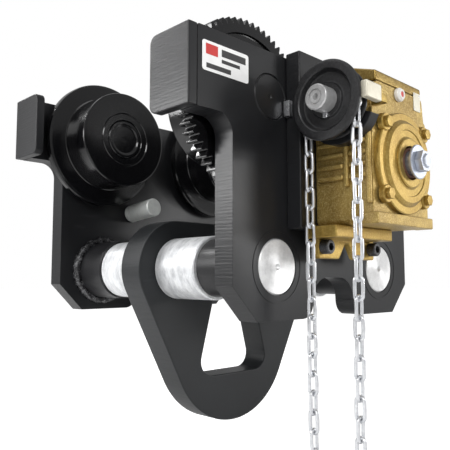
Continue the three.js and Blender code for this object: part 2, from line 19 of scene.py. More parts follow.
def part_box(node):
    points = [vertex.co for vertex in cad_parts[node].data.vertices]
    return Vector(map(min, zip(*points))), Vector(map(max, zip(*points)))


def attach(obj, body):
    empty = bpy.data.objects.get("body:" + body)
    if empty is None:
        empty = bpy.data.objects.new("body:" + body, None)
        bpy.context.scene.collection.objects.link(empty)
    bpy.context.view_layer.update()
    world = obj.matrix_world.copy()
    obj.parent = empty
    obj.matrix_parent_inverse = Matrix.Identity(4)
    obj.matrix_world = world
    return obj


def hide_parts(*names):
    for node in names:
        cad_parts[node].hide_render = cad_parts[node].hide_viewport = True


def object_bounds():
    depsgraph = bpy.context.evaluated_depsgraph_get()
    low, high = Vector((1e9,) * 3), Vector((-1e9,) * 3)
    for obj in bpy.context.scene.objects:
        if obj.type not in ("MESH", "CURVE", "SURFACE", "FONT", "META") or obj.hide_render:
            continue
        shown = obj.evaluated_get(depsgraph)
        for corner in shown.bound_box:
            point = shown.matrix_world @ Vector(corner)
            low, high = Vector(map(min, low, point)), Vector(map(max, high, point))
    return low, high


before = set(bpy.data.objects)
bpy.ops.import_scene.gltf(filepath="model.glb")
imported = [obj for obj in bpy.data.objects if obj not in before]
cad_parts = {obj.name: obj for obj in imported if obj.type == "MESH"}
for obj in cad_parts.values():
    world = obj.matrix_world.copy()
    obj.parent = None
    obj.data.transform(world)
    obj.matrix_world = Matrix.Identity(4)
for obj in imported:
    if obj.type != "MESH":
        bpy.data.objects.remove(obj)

log = logging.getLogger("beam_trolley")
CAD_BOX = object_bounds()
MM = 0.001
Point = tuple[float, float]
Triple = tuple[float, float, float]
AXIS_Y = Vector((0, 1, 0))
AXIS_X = Vector((1, 0, 0))


# ---- shader maths ---------------------------------------------------------
class Value:
    """A number on a shader socket that takes part in Python expressions."""

    def __init__(self, shader: "Shader", socket: bpy.types.NodeSocket) -> None:
        """Keep the shader and the socket."""
        self.shader = shader
        self.socket = socket

    def _math(self, operation: str, *values: "Value | float") -> "Value":
        """Add a Math node.

        Args:
            operation: the Math node's operation.
            values: its inputs, in order.

        Returns:
            The node's result.
        """
        return self.shader.node("ShaderNodeMath", {"operation": operation}, dict(enumerate(values))).value()

    def __add__(self, other: "Value | float") -> "Value":
        """Sum."""
        return self._math("ADD", self, other)

    __radd__ = __add__

    def __sub__(self, other: "Value | float") -> "Value":
        """Difference."""
        return self._math("SUBTRACT", self, other)

    def __rsub__(self, other: float) -> "Value":
        """Difference from a plain number."""
        return self._math("SUBTRACT", other, self)

    def __mul__(self, other: "Value | float") -> "Value":
        """Product."""
        return self._math("MULTIPLY", self, other)

    __rmul__ = __mul__

    def __truediv__(self, other: "Value | float") -> "Value":
        """Quotient."""
        return self._math("DIVIDE", self, other)

    def __pow__(self, other: float) -> "Value":
        """Power."""
        return self._math("POWER", self, other)

    def __abs__(self) -> "Value":
        """Absolute value."""
        return self._math("ABSOLUTE", self)

    def sine(self) -> "Value":
        """Sine of the value in radians."""
        return self._math("SINE", self)

    def above(self, limit: float, blur: float = 0.02) -> "Value":
        """Soft step.

        Args:
            limit: where the step lies.
            blur: half the width of the step.

        Returns:
            0 below the limit and 1 above it.
        """
        ranged = self.shader.node("ShaderNodeMapRange", {}, {
            "Value": self, "From Min": limit - blur, "From Max": limit + blur})
        return ranged.value("Result")


class Node:
    """A shader node with its outputs at hand."""

    def __init__(self, shader: "Shader", raw: bpy.types.Node) -> None:
        """Keep the shader and the raw node."""
        self.shader = shader
        self.raw = raw

    def value(self, name: str | int = 0) -> Value:
        """One output as a number."""
        return Value(self.shader, self.raw.outputs[name])

    def out(self, name: str | int = 0) -> bpy.types.NodeSocket:
        """One output as a plain socket."""
        return self.raw.outputs[name]


class Shader:
    """One material's node tree, ending in a Principled BSDF."""

    def __init__(self, name: str) -> None:
        """Make an empty material.

        Args:
            name: the material's name.
        """
        self.material = bpy.data.materials.new(name)
        self.material.use_nodes = True
        self.tree = self.material.node_tree
        self.tree.nodes.clear()
        self.bsdf = self.node("ShaderNodeBsdfPrincipled")
        self.node("ShaderNodeOutputMaterial", {}, {"Surface": self.bsdf.out("BSDF")})
        self.place = self.node("ShaderNodeTexCoord").out("Object")

    def node(self, kind: str, settings: dict | None = None, inputs: dict | None = None) -> Node:
        """Add any node.

        Args:
            kind: the node's type name.
            settings: attributes set first; "stops" sets a ramp's (position, colour) stops.
            inputs: values, wrapped values or sockets for the node's inputs.

        Returns:
            The node.
        """
        raw = self.tree.nodes.new(kind)
        for key, setting in (settings or {}).items():
            if key == "stops":
                ramp = raw.color_ramp
                while len(ramp.elements) < len(setting):
                    ramp.elements.new(0.5)
                for element, (position, colour) in zip(ramp.elements, setting):
                    element.position = position
                    element.color = (*colour, 1.0)
            else:
                setattr(raw, key, setting)
        for key, given in (inputs or {}).items():
            if isinstance(given, Value):
                given = given.socket
            if isinstance(given, bpy.types.NodeSocket):
                self.tree.links.new(given, raw.inputs[key])
            else:
                raw.inputs[key].default_value = given
        return Node(self, raw)

    def noise(self, scale: float, detail: float = 4.0, stretch: Triple = (1, 1, 1),
              rough: float = 0.55) -> Value:
        """Noise over the object.

        Args:
            scale: how fine it is, per metre.
            detail: octaves.
            stretch: a factor on the scale along each axis.
            rough: roughness between octaves.

        Returns:
            The noise, from 0 to 1.
        """
        mapped = self.node("ShaderNodeMapping", {}, {"Vector": self.place, "Scale": stretch})
        return self.node("ShaderNodeTexNoise", {}, {
            "Vector": mapped.out(), "Scale": scale, "Detail": detail, "Roughness": rough}).value(0)

    def cells(self, scale: float, smooth: bool = False) -> Value:
        """Distance to the nearest of a scatter of points."""
        feature = "SMOOTH_F1" if smooth else "F1"
        return self.node("ShaderNodeTexVoronoi", {"feature": feature}, {
            "Vector": self.place, "Scale": scale}).value("Distance")

    def axes(self) -> tuple[Value, Value, Value]:
        """Object coordinates as three numbers."""
        split = self.node("ShaderNodeSeparateXYZ", {}, {"Vector": self.place})
        return split.value("X"), split.value("Y"), split.value("Z")

    def facing(self) -> tuple[Value, Value, Value]:
        """The surface normal's three parts."""
        normal = self.node("ShaderNodeTexCoord").out("Normal")
        split = self.node("ShaderNodeSeparateXYZ", {}, {"Vector": normal})
        return split.value("X"), split.value("Y"), split.value("Z")

    def blend(self, factor: Value, low: Triple | bpy.types.NodeSocket,
              high: Triple | bpy.types.NodeSocket) -> bpy.types.NodeSocket:
        """Mix two colours.

        Args:
            factor: 0 for the first colour and 1 for the second.
            low: the first colour.
            high: the second colour.

        Returns:
            The mixed colour's socket.
        """
        def rgba(colour: Triple | bpy.types.NodeSocket) -> tuple | bpy.types.NodeSocket:
            """Add alpha to a plain colour."""
            return colour if isinstance(colour, bpy.types.NodeSocket) else (*colour, 1.0)
        mix = self.node("ShaderNodeMix", {"data_type": "RGBA", "clamp_factor": True}, {
            0: factor, 6: rgba(low), 7: rgba(high)})
        return mix.out(2)

    def bump(self, height: Value, distance: float, strength: float = 1.0) -> None:
        """Feed the normal from a height.

        Args:
            height: from 0 to 1.
            distance: how deep 1 is, in metres.
            strength: the bump's strength.
        """
        bump = self.node("ShaderNodeBump", {}, {"Height": height, "Distance": distance,
                                                "Strength": strength})
        self.tree.links.new(bump.out(), self.bsdf.raw.inputs["Normal"])

    def set(self, **inputs: object) -> None:
        """Set or link the Principled sockets; underscores stand for spaces."""
        for key, given in inputs.items():
            socket = self.bsdf.raw.inputs[key.replace("_", " ")]
            if isinstance(given, Value):
                given = given.socket
            if isinstance(given, bpy.types.NodeSocket):
                self.tree.links.new(given, socket)
            elif isinstance(given, tuple):
                socket.default_value = (*given, 1.0)
            else:
                socket.default_value = given


# ---- finishes ---------------------------------------------------------------
@dataclass(frozen=True)
class Paint:
    """Sprayed paint over steel: faint orange peel, dust, scuffs, and drag lines on flame-cut edges."""

    name: str
    base: Triple
    dust: Triple
    roughness: float = 0.38
    coat: float = 0.25
    specular: float = 0.28
    drag_lines: bool = False

    def build(self) -> bpy.types.Material:
        """Make the material."""
        sh = Shader(self.name)
        cloud = sh.noise(9.0, 5.0)
        fine = sh.noise(160.0, 3.0)
        scuff = sh.noise(60.0, 6.0, (0.25, 1.0, 1.6)).above(0.69, 0.03)
        colour = sh.blend(cloud.above(0.55, 0.25) * 0.55, self.base, self.dust)
        colour = sh.blend(scuff * 0.35, colour, tuple(2.5 * c + 0.006 for c in self.base))
        sh.set(Base_Color=colour,
               Roughness=cloud * 0.16 + fine * 0.08 + scuff * 0.12 + (self.roughness - 0.12),
               Coat_Weight=self.coat, Coat_Roughness=0.2, Specular_IOR_Level=self.specular)
        peel = fine * 0.6 + sh.noise(420.0, 2.0) * 0.4
        if self.drag_lines:
            _, toward, _ = sh.facing()
            edge = 1 - abs(toward).above(0.5, 0.1)
            x, _, z = sh.axes()
            line = (x * 1400.0 + z * 1400.0 + sh.noise(30.0, 2.0) * 5.0).sine() * 0.5 + 0.5
            streak = sh.noise(220.0, 3.0, (1.0, 0.12, 1.0))
            peel = peel * 0.25 + edge * (line * 0.12 + streak * 0.9)
            sh.bump(peel, 0.0008, 0.5)
        else:
            sh.bump(peel, 0.0004, 0.5)
        return sh.material


@dataclass(frozen=True)
class Casting:
    """Metallic paint on a sand casting: pimpled skin, darker hollows, and a painted highlight on the high
    spots of the skin.
    """

    name: str
    base: Triple
    hollow: Triple
    painted_highlight: Triple
    metallic: float
    roughness: float
    grain: float = 420.0
    depth: float = 0.0012

    def build(self) -> bpy.types.Material:
        """Make the material."""
        sh = Shader(self.name)
        skin = sh.noise(self.grain, 5.0, rough=0.65)
        patch = sh.noise(26.0, 4.0)
        spots = sh.cells(self.grain * 0.9, smooth=True)
        colour = sh.blend(patch.above(0.5, 0.22), self.base, self.hollow)
        # painted highlight: where the skin's bump is high the colour is lighter, so the raised grain looks
        # lit
        colour = sh.blend(skin.above(0.6, 0.14) * 0.7, colour, self.painted_highlight)
        sh.set(Base_Color=colour, Metallic=self.metallic,
               Roughness=skin * 0.2 + patch * 0.12 + (self.roughness - 0.14), Coat_Weight=0.15,
               Coat_Roughness=0.25)
        sh.bump(skin * 0.7 + spots * 0.5, self.depth, 0.7)
        return sh.material


class Lathe(Enum):
    """The axis that a part was turned about."""

    ALONG_Y = "y"
    ALONG_X = "x"


@dataclass(frozen=True)
class Turned:
    """Bare turned metal: tool lines round the axis, rings on end faces, mottling."""

    name: str
    base: Triple
    shade: Triple
    metallic: float = 1.0
    roughness: float = 0.3
    axis: Lathe = Lathe.ALONG_Y
    centre: Point = (0.0, 0.0)
    mottle: float = 0.4
    line_depth: float = 0.00018

    def build(self) -> bpy.types.Material:
        """Make the material."""
        sh = Shader(self.name)
        x, y, z = sh.axes()
        nx, ny, _ = sh.facing()
        if self.axis is Lathe.ALONG_Y:
            across, up, face, stretch = x - self.centre[0], z - self.centre[1], abs(ny), (0.05, 1.0, 0.05)
        else:
            across, up, face, stretch = y - self.centre[0], z - self.centre[1], abs(nx), (1.0, 0.05, 0.05)
        reach = (across * across + up * up) ** 0.5
        rings = (reach * 5200.0 + sh.noise(40.0, 1.0) * 2.0).sine() * 0.5 + 0.5
        lines = sh.noise(900.0, 2.0, stretch)
        end = face.above(0.7, 0.1)
        tool = end * rings + (1 - end) * lines
        swept = (0.7, 1.5, 0.7) if self.axis is Lathe.ALONG_Y else (1.5, 0.7, 0.7)
        blotch = sh.noise(44.0, 7.0, swept, rough=0.72)
        colour = sh.blend(blotch.above(0.53, 0.12) * self.mottle, self.base, self.shade)
        colour = sh.blend(tool * 0.12, colour, self.shade)
        sh.set(Base_Color=colour, Metallic=self.metallic,
               Roughness=blotch * 0.22 + tool * 0.1 + (self.roughness - 0.16))
        sh.bump(tool * 0.8 + blotch * 0.4, self.line_depth, 0.6)
        return sh.material


@dataclass(frozen=True)
class Plated:
    """Zinc plate on small parts: bright, cool, with fine scratches."""

    name: str
    base: Triple
    shade: Triple
    roughness: float = 0.28
    metallic: float = 0.9

    def build(self) -> bpy.types.Material:
        """Make the material."""
        sh = Shader(self.name)
        cloud = sh.noise(120.0, 4.0)
        scratch = sh.noise(500.0, 2.0, (1.0, 0.15, 0.6))
        sh.set(Base_Color=sh.blend(cloud.above(0.55, 0.2) * 0.6, self.base, self.shade),
               Metallic=self.metallic,
               Roughness=cloud * 0.14 + scratch * 0.1 + (self.roughness - 0.1))
        sh.bump(scratch * 0.6 + cloud * 0.4, 0.00012, 0.5)
        return sh.material


@dataclass(frozen=True)
class Plain:
    """Moulded plastic, rubber or printed film with a faint grain."""

    name: str
    base: Triple
    shade: Triple
    roughness: float = 0.4

    def build(self) -> bpy.types.Material:
        """Make the material."""
        sh = Shader(self.name)
        cloud = sh.noise(70.0, 4.0)
        grain = sh.noise(900.0, 2.0)
        sh.set(Base_Color=sh.blend(cloud.above(0.6, 0.2) * 0.5, self.base, self.shade),
               Roughness=grain * 0.12 + cloud * 0.1 + (self.roughness - 0.1))
        sh.bump(grain, 0.00008, 0.4)
        return sh.material


# ---- the bench: modelling operations ---------------------------------------
def deselect() -> None:
    """Deselect every object."""
    if bpy.context.object and bpy.context.object.mode != "OBJECT":
        bpy.ops.object.mode_set(mode="OBJECT")
    bpy.ops.object.select_all(action="DESELECT")


def choose(obj: bpy.types.Object) -> None:
    """Select one object only and make it active."""
    deselect()
    obj.select_set(True)
    bpy.context.view_layer.objects.active = obj


@contextmanager
def editing(obj: bpy.types.Object, select: bool = True) -> Iterator[None]:
    """Edit mode on one object.

    Args:
        obj: the object.
        select: whether all of it starts selected.
    """
    choose(obj)
    bpy.ops.object.mode_set(mode="EDIT")
    bpy.ops.mesh.select_all(action="SELECT" if select else "DESELECT")
    yield
    bpy.ops.object.mode_set(mode="OBJECT")


def tidy_normals() -> None:
    """Merge doubles and point the faces outwards, in edit mode."""
    bpy.ops.mesh.select_all(action="SELECT")
    bpy.ops.mesh.remove_doubles(threshold=2e-6)
    bpy.ops.mesh.normals_make_consistent(inside=False)


def soften(obj: bpy.types.Object, width: float, segments: int = 3, angle: float = 32.0) -> None:
    """Bevel an object's sharp edges.

    Args:
        obj: the object.
        width: the bevel's width in metres.
        segments: the bevel's segments.
        angle: the sharpness, in degrees, from which an edge is bevelled.
    """
    choose(obj)
    modifier = obj.modifiers.new("edge_round", "BEVEL")
    modifier.width = width
    modifier.segments = segments
    modifier.limit_method = "ANGLE"
    modifier.angle_limit = math.radians(angle)
    modifier.use_clamp_overlap = True
    bpy.ops.object.modifier_apply(modifier=modifier.name)


def smooth(obj: bpy.types.Object, angle: float = 34.0) -> bpy.types.Object:
    """Shade an object smooth where its faces meet at less than an angle, and keep its large faces flat."""
    choose(obj)
    bpy.ops.object.shade_smooth_by_angle(angle=math.radians(angle))
    weighted = obj.modifiers.new("flat_faces", "WEIGHTED_NORMAL")
    weighted.keep_sharp = True
    weighted.weight = 80
    bpy.ops.object.modifier_apply(modifier=weighted.name)
    return obj


def held(profile: Sequence[Point], grip: float = 0.4, least: float = 3.0) -> list[Point]:
    """A profile with a holding point near both ends of each long run, which keeps its flats flat in shading.

    Args:
        profile: the profile's points.
        grip: how far from its end a holding point lies.
        least: the shortest run that gets them.

    Returns:
        The profile with the points added.
    """
    points = [profile[0]]
    for start, end in zip(profile, profile[1:]):
        run = math.dist(start, end)
        if run > least:
            for part in (grip / run, 1 - grip / run):
                points.append((start[0] + (end[0] - start[0]) * part,
                               start[1] + (end[1] - start[1]) * part))
        points.append(end)
    return points


def turned(name: str, profile: Sequence[Point], centre: Point, axis: Lathe = Lathe.ALONG_Y,
           steps: int = 72) -> bpy.types.Object:
    """Spin a profile into a turned piece.

    Args:
        name: the new object's name.
        profile: (radius, place along the axis) points, in millimetres.
        centre: the axis's place in millimetres: (x, z) for a Y axis, (y, z) for an X axis.
        axis: the axis that the piece is turned about.
        steps: segments in a full turn.

    Returns:
        The object.
    """
    along_y = axis is Lathe.ALONG_Y
    across, up = centre
    profile = held(profile)
    points = [Vector((across + r, a, up) if along_y else (a, across + r, up)) * MM for r, a in profile]
    hub = Vector((across, 0, up) if along_y else (0, across, up)) * MM
    deselect()
    bpy.ops.mesh.primitive_plane_add(size=0.002, location=(0, 0, 0))
    obj = bpy.context.object
    obj.name = name
    with editing(obj):
        bpy.ops.mesh.select_mode(type="VERT")
        bpy.ops.mesh.merge(type="CENTER")
        bpy.ops.transform.translate(value=points[0])
        for before, after in zip(points, points[1:]):
            bpy.ops.mesh.extrude_region_move(TRANSFORM_OT_translate={"value": after - before})
        bpy.ops.mesh.select_all(action="SELECT")
        bpy.ops.mesh.spin(steps=steps, angle=math.tau, center=hub, axis=AXIS_Y if along_y else AXIS_X)
        tidy_normals()
    return smooth(obj)


def block(name: str, low: Triple, high: Triple, round_off: float = 0.0,
          segments: int = 3) -> bpy.types.Object:
    """A rounded block between two corners.

    Args:
        name: the new object's name.
        low: lowest corner, in millimetres.
        high: highest corner.
        round_off: the width of its bevels.
        segments: the bevels' segments.

    Returns:
        The object.
    """
    low, high = Vector(low) * MM, Vector(high) * MM
    deselect()
    bpy.ops.mesh.primitive_cube_add(size=1.0, location=(0, 0, 0))
    obj = bpy.context.object
    obj.name = name
    with editing(obj):
        bpy.ops.transform.resize(value=high - low)
        bpy.ops.transform.translate(value=(low + high) / 2)
    if round_off:
        soften(obj, round_off * MM, segments)
    return smooth(obj)


def from_cad(node: str, name: str, round_off: float, segments: int = 3,
             angle: float = 32.0) -> bpy.types.Object:
    """A bevelled copy of a CAD node's own solid.

    Args:
        node: the CAD node.
        name: the new object's name.
        round_off: the width of its bevels, in millimetres.
        segments: the bevels' segments.
        angle: the sharpness from which an edge is bevelled.

    Returns:
        The object.
    """
    obj = bpy.data.objects.new(name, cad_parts[node].data.copy())
    bpy.context.scene.collection.objects.link(obj)
    with editing(obj):
        bpy.ops.mesh.remove_doubles(threshold=1e-5)
        bpy.ops.mesh.dissolve_limited(angle_limit=math.radians(1.5))
    if round_off:
        soften(obj, round_off * MM, segments, angle)
    return smooth(obj)


def fuse(name: str, *parts: bpy.types.Object) -> bpy.types.Object:
    """Join several shells into one object.

    Args:
        name: the joined object's name.
        parts: the objects.

    Returns:
        The first object, with the others in it.
    """
    choose(parts[0])
    for part in parts[1:]:
        part.select_set(True)
    bpy.ops.object.join()
    parts[0].name = name
    return parts[0]


def copy_of(obj: bpy.types.Object, name: str, place: Matrix) -> bpy.types.Object:
    """A copy with a mesh of its own, moved in its mesh.

    Args:
        obj: the object to copy.
        name: the copy's name.
        place: where the copy goes, from the original's place.

    Returns:
        The copy.
    """
    twin = bpy.data.objects.new(name, obj.data.copy())
    bpy.context.scene.collection.objects.link(twin)
    twin.data.transform(place)
    if place.determinant() < 0:
        twin.data.flip_normals()
    return twin


def dress(obj: bpy.types.Object, material: bpy.types.Material, body: str, slot: str,
          *nodes: str) -> bpy.types.Object:
    """Give a finished piece its material, its body and the CAD nodes that it stands for.

    Args:
        obj: the piece.
        material: its finish.
        body: the CAD body that it rides on.
        slot: the record's material slot; not used.
        nodes: the CAD nodes that it replaces.

    Returns:
        The piece.
    """
    obj.data.materials.clear()
    obj.data.materials.append(material)
    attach(obj, body)
    if nodes:
        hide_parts(*nodes)
    log.info("%s: %d faces on %s", obj.name, len(obj.data.polygons), body)
    return obj


def span(node: str) -> tuple[Vector, Vector]:
    """A CAD node's lowest and highest corners, in millimetres."""
    low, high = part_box(node)
    return low / MM, high / MM


def middle(node: str) -> Vector:
    """The middle of a CAD node's box, in millimetres."""
    low, high = span(node)
    return (low + high) / 2


# ---- outlines ---------------------------------------------------------------
def arc(x: float, z: float, radius: float, start: float, end: float, steps: int) -> list[Point]:
    """Points of an arc.

    Args:
        x: centre across.
        z: centre up.
        radius: its radius.
        start: first angle, in radians.
        end: last angle.
        steps: chords.

    Returns:
        The points, both ends included.
    """
    return [(x + radius * math.cos(start + (end - start) * i / steps),
             z + radius * math.sin(start + (end - start) * i / steps)) for i in range(steps + 1)]


def rounded(corners: Sequence[Triple], steps: int = 8) -> list[Point]:
    """A polygon with rounded corners.

    Args:
        corners: (across, up, fillet radius) of each corner.
        steps: chords in each fillet.

    Returns:
        The outline's points.
    """
    points: list[Point] = []
    for i, (x, z, radius) in enumerate(corners):
        if not radius:
            points.append((x, z))
            continue
        here = Vector((x, z))
        before = (Vector(corners[i - 1][:2]) - here).normalized()
        after = (Vector(corners[(i + 1) % len(corners)][:2]) - here).normalized()
        half = math.acos(max(-1.0, min(1.0, before.dot(after)))) / 2
        centre = here + (before + after).normalized() * radius / math.sin(half)
        start, end = ((here + side * radius / math.tan(half)) - centre for side in (before, after))
        first = math.atan2(start.y, start.x)
        turn = math.atan2(end.y, end.x) - first
        turn = (turn + math.pi) % math.tau - math.pi
        points += arc(centre.x, centre.y, radius, first, first + turn, steps)
    return points


def mirrored(half: Sequence[Triple]) -> list[Triple]:
    """A right half's corners with their mirror images, in order."""
    return [*half, *[(-x, z, radius) for x, z, radius in reversed(half)]]


def slab(name: str, outline: Sequence[Point], start: float, depth: float,
         axis: Lathe = Lathe.ALONG_Y) -> bpy.types.Object:
    """Extrude an outline into a slab.

    Args:
        name: the new object's name.
        outline: (x, z) points for a Y axis, (y, z) points for an X axis, in millimetres.
        start: where the slab starts along the axis, in millimetres.
        depth: how far it goes.
        axis: the axis that it is extruded along.

    Returns:
        The object.
    """
    if axis is Lathe.ALONG_Y:
        points = [Vector((x, start, z)) * MM for x, z in outline]
        push = Vector((0, depth, 0)) * MM
    else:
        points = [Vector((start, y, z)) * MM for y, z in outline]
        push = Vector((depth, 0, 0)) * MM
    deselect()
    bpy.ops.mesh.primitive_plane_add(size=0.002, location=(0, 0, 0))
    obj = bpy.context.object
    obj.name = name
    with editing(obj):
        bpy.ops.mesh.select_mode(type="VERT")
        bpy.ops.mesh.merge(type="CENTER")
        bpy.ops.transform.translate(value=points[0])
        for before, after in zip(points, [*points[1:], points[0]]):
            bpy.ops.mesh.extrude_region_move(TRANSFORM_OT_translate={"value": after - before})
        bpy.ops.mesh.select_all(action="SELECT")
        bpy.ops.mesh.remove_doubles(threshold=1e-6)
        bpy.ops.mesh.edge_face_add()
        bpy.ops.mesh.extrude_region_move(TRANSFORM_OT_translate={"value": push})
        tidy_normals()
    return obj


def bore(obj: bpy.types.Object, *cutters: bpy.types.Object) -> None:
    """Cut tools out of an object and delete the tools.

    Args:
        obj: the object.
        cutters: the tools.
    """
    for cutter in cutters:
        choose(obj)
        modifier = obj.modifiers.new("bore", "BOOLEAN")
        modifier.operation = "DIFFERENCE"
        modifier.solver = "EXACT"
        modifier.object = cutter
        bpy.ops.object.modifier_apply(modifier=modifier.name)
        bpy.data.objects.remove(cutter)


def rod(name: str, centre: Point, radius: float, start: float, depth: float, sides: int = 64,
        axis: Lathe = Lathe.ALONG_Y) -> bpy.types.Object:
    """A straight bar.

    Args:
        name: the new object's name.
        centre: (x, z) for a Y axis, (y, z) for an X axis, in millimetres.
        radius: its radius.
        start: where it starts along its axis.
        depth: how far it goes.
        sides: 6 gives a hexagon.
        axis: its axis.

    Returns:
        The object.
    """
    return slab(name, arc(*centre, radius, 0, math.tau * (1 - 1 / sides), sides - 1), start, depth, axis)


def gear(name: str, centre: Point, teeth: int, module: float, phase: float, start: float,
         depth: float) -> bpy.types.Object:
    """A spur gear on a Y axis.

    Args:
        name: the new object's name.
        centre: (x, z) of its axis, in millimetres.
        teeth: how many teeth.
        module: pitch diameter over teeth.
        phase: the angle of one tooth.
        start: where its face starts along Y.
        depth: its face width.

    Returns:
        The object.
    """
    tip = module * (teeth / 2 + 0.95)
    root = module * (teeth / 2 - 1.25)
    obj = slab(name, arc(0, 0, tip, 0, math.tau * (1 - 1 / (6 * teeth)), 6 * teeth - 1), start, depth)
    pitch = math.tau / teeth
    with editing(obj, select=False):
        bm = bmesh.from_edit_mesh(obj.data)
        for vertex in bm.verts:
            step = round(math.atan2(vertex.co.z, vertex.co.x) / (pitch / 6)) % 6
            vertex.select_set(step in (3, 4))
        bmesh.update_edit_mesh(obj.data)
        shrink = root / tip
        bpy.ops.transform.resize(value=(shrink, 1, shrink), center_override=(0, 0, 0))
        bpy.ops.mesh.select_all(action="DESELECT")
        bm = bmesh.from_edit_mesh(obj.data)
        for vertex in bm.verts:
            step = round(math.atan2(vertex.co.z, vertex.co.x) / (pitch / 6)) % 6
            vertex.select_set(step in (2, 5))
        bmesh.update_edit_mesh(obj.data)
        stretch = module * teeth / 2 / tip
        bpy.ops.transform.resize(value=(stretch, 1, stretch), center_override=(0, 0, 0))
    # the tooth's tip spans steps 0 and 1, so its middle is half a step on
    turn = Matrix.Rotation(-(phase - pitch / 12), 4, "Y")
    obj.data.transform(Matrix.Translation(Vector((centre[0], 0, centre[1])) * MM) @ turn)
    soften(obj, 0.0006, 2, 40)
    return smooth(obj)


def bead(name: str, centre: Point, radius: float, at: float, thick: float, seed: int) -> bpy.types.Object:
    """A weld bead round a shaft.

    Args:
        name: the new object's name.
        centre: (x, z) of the shaft, in millimetres.
        radius: the bead's radius.
        at: its place along Y.
        thick: the bead's own radius.
        seed: the seed of its lumps.

    Returns:
        The object.
    """
    deselect()
    bpy.ops.mesh.primitive_torus_add(major_segments=96, minor_segments=10, major_radius=radius * MM,
                                     minor_radius=thick * MM, location=(0, 0, 0))
    obj = bpy.context.object
    obj.name = name
    with editing(obj):
        bpy.ops.transform.rotate(value=math.pi / 2, orient_axis="X", center_override=(0, 0, 0))
        bpy.ops.transform.translate(value=Vector((centre[0], at, centre[1])) * MM)
        bpy.ops.transform.vertex_random(offset=0.0024, uniform=0.3, normal=0.6, seed=seed)
        bpy.ops.mesh.vertices_smooth(factor=0.5, repeat=2)
    return smooth(obj, 80)


def seam(name: str, start: Triple, end: Triple, thick: float, seed: int) -> bpy.types.Object:
    """A straight weld bead.

    Args:
        name: the new object's name.
        start: one end, in millimetres.
        end: the other end.
        thick: the bead's radius.
        seed: the seed of its lumps.

    Returns:
        The object.
    """
    run = (Vector(end) - Vector(start)) * MM
    deselect()
    bpy.ops.mesh.primitive_cylinder_add(vertices=10, radius=thick * MM, depth=run.length,
                                        location=(0, 0, 0))
    obj = bpy.context.object
    obj.name = name
    with editing(obj):
        bpy.ops.mesh.select_all(action="DESELECT")
        bm = bmesh.from_edit_mesh(obj.data)
        bpy.ops.mesh.select_mode(type="EDGE")
        for edge in bm.edges:
            edge.select_set(abs((edge.verts[0].co - edge.verts[1].co).z) > run.length / 2)
        bmesh.update_edit_mesh(obj.data)
        bpy.ops.mesh.subdivide(number_cuts=max(3, int(run.length / (thick * MM) * 0.9)))
        bpy.ops.mesh.select_all(action="SELECT")
        bpy.ops.transform.vertex_random(offset=0.0010, uniform=0.3, normal=0.6, seed=seed)
    turn = Vector((0, 0, 1)).rotation_difference(run.normalized()).to_matrix().to_4x4()
    obj.data.transform(Matrix.Translation((Vector(start) + Vector(end)) / 2 * MM) @ turn)
    return smooth(obj, 80)


# ---- finishes of this trolley -----------------------------------------------
BLACK = Paint(
    "black_paint", base=(0.008, 0.008, 0.009), dust=(0.018, 0.019, 0.021),
    roughness=0.38, coat=0.06, specular=0.3, drag_lines=True)
BLACK_FACE = Paint(
    "black_paint_face", base=(0.009, 0.009, 0.01), dust=(0.02, 0.02, 0.022),
    roughness=0.4, coat=0.05, specular=0.3)
GREY = Paint(
    "grey_paint", base=(0.012, 0.013, 0.014), dust=(0.024, 0.026, 0.029),
    roughness=0.42, coat=0.05, specular=0.3, drag_lines=True)
WHEEL_BLACK = Paint(
    "wheel_enamel", base=(0.003, 0.003, 0.0035), dust=(0.006, 0.006, 0.007),
    roughness=0.13, coat=0.3, specular=0.3)
# the light colour on the weld's lumps is a painted highlight, not spatter or wear
WELD_BLACK = Casting(
    "weld_paint", base=(0.02, 0.02, 0.022), hollow=(0.004, 0.004, 0.005), painted_highlight=(0.22, 0.22, 0.23),
    metallic=0.3, roughness=0.24, grain=150.0, depth=0.003)
GOLD = Casting(
    "gold_paint", base=(0.40, 0.27, 0.06), hollow=(0.28, 0.17, 0.033), painted_highlight=(0.56, 0.41, 0.13),
    metallic=0.7, roughness=0.36, grain=330.0, depth=0.0004)
# A darker copy of the same gold paint: painted shade, so that the top cap looks less lit than the rest
GOLD_SHADED = Casting(
    "gold_paint_painted_shade", base=(0.30, 0.20, 0.045), hollow=(0.21, 0.13, 0.026), painted_highlight=(0.50, 0.37, 0.12),
    metallic=0.7, roughness=0.38, grain=330.0, depth=0.0006)
GOLD_ROUGH = Casting(
    "gold_cast_skin", base=(0.44, 0.305, 0.085), hollow=(0.24, 0.15, 0.034), painted_highlight=(0.74, 0.58, 0.25),
    metallic=0.6, roughness=0.42, grain=430.0, depth=0.0013)
WHEEL_CAST = Casting(
    "black_cast_skin", base=(0.010, 0.010, 0.011), hollow=(0.004, 0.004, 0.005),
    painted_highlight=(0.035, 0.035, 0.037), metallic=0.1, roughness=0.42, grain=300.0, depth=0.0005)
OXIDE = Casting(
    "black_oxide", base=(0.045, 0.045, 0.048), hollow=(0.02, 0.02, 0.022), painted_highlight=(0.15, 0.15, 0.16),
    metallic=0.6, roughness=0.4, grain=700.0, depth=0.0002)
BRONZE = Turned("bronze", (0.62, 0.40, 0.17), (0.42, 0.25, 0.09), 1.0, 0.35)
CHAIN_ZINC = Plated("zinc_plate", (0.78, 0.79, 0.81), (0.50, 0.51, 0.54), 0.28, 1.0)
BLUE_ZINC = Plated("blue_zinc_plate", (0.55, 0.58, 0.64), (0.36, 0.39, 0.46), 0.3)
BEIGE_ZINC = Plated("beige_zinc_plate", (0.66, 0.63, 0.52), (0.50, 0.46, 0.36), 0.42, 0.4)
STUB_ZINC = Plated("dull_zinc_plate", (0.56, 0.58, 0.56), (0.40, 0.41, 0.41), 0.42, 0.3)
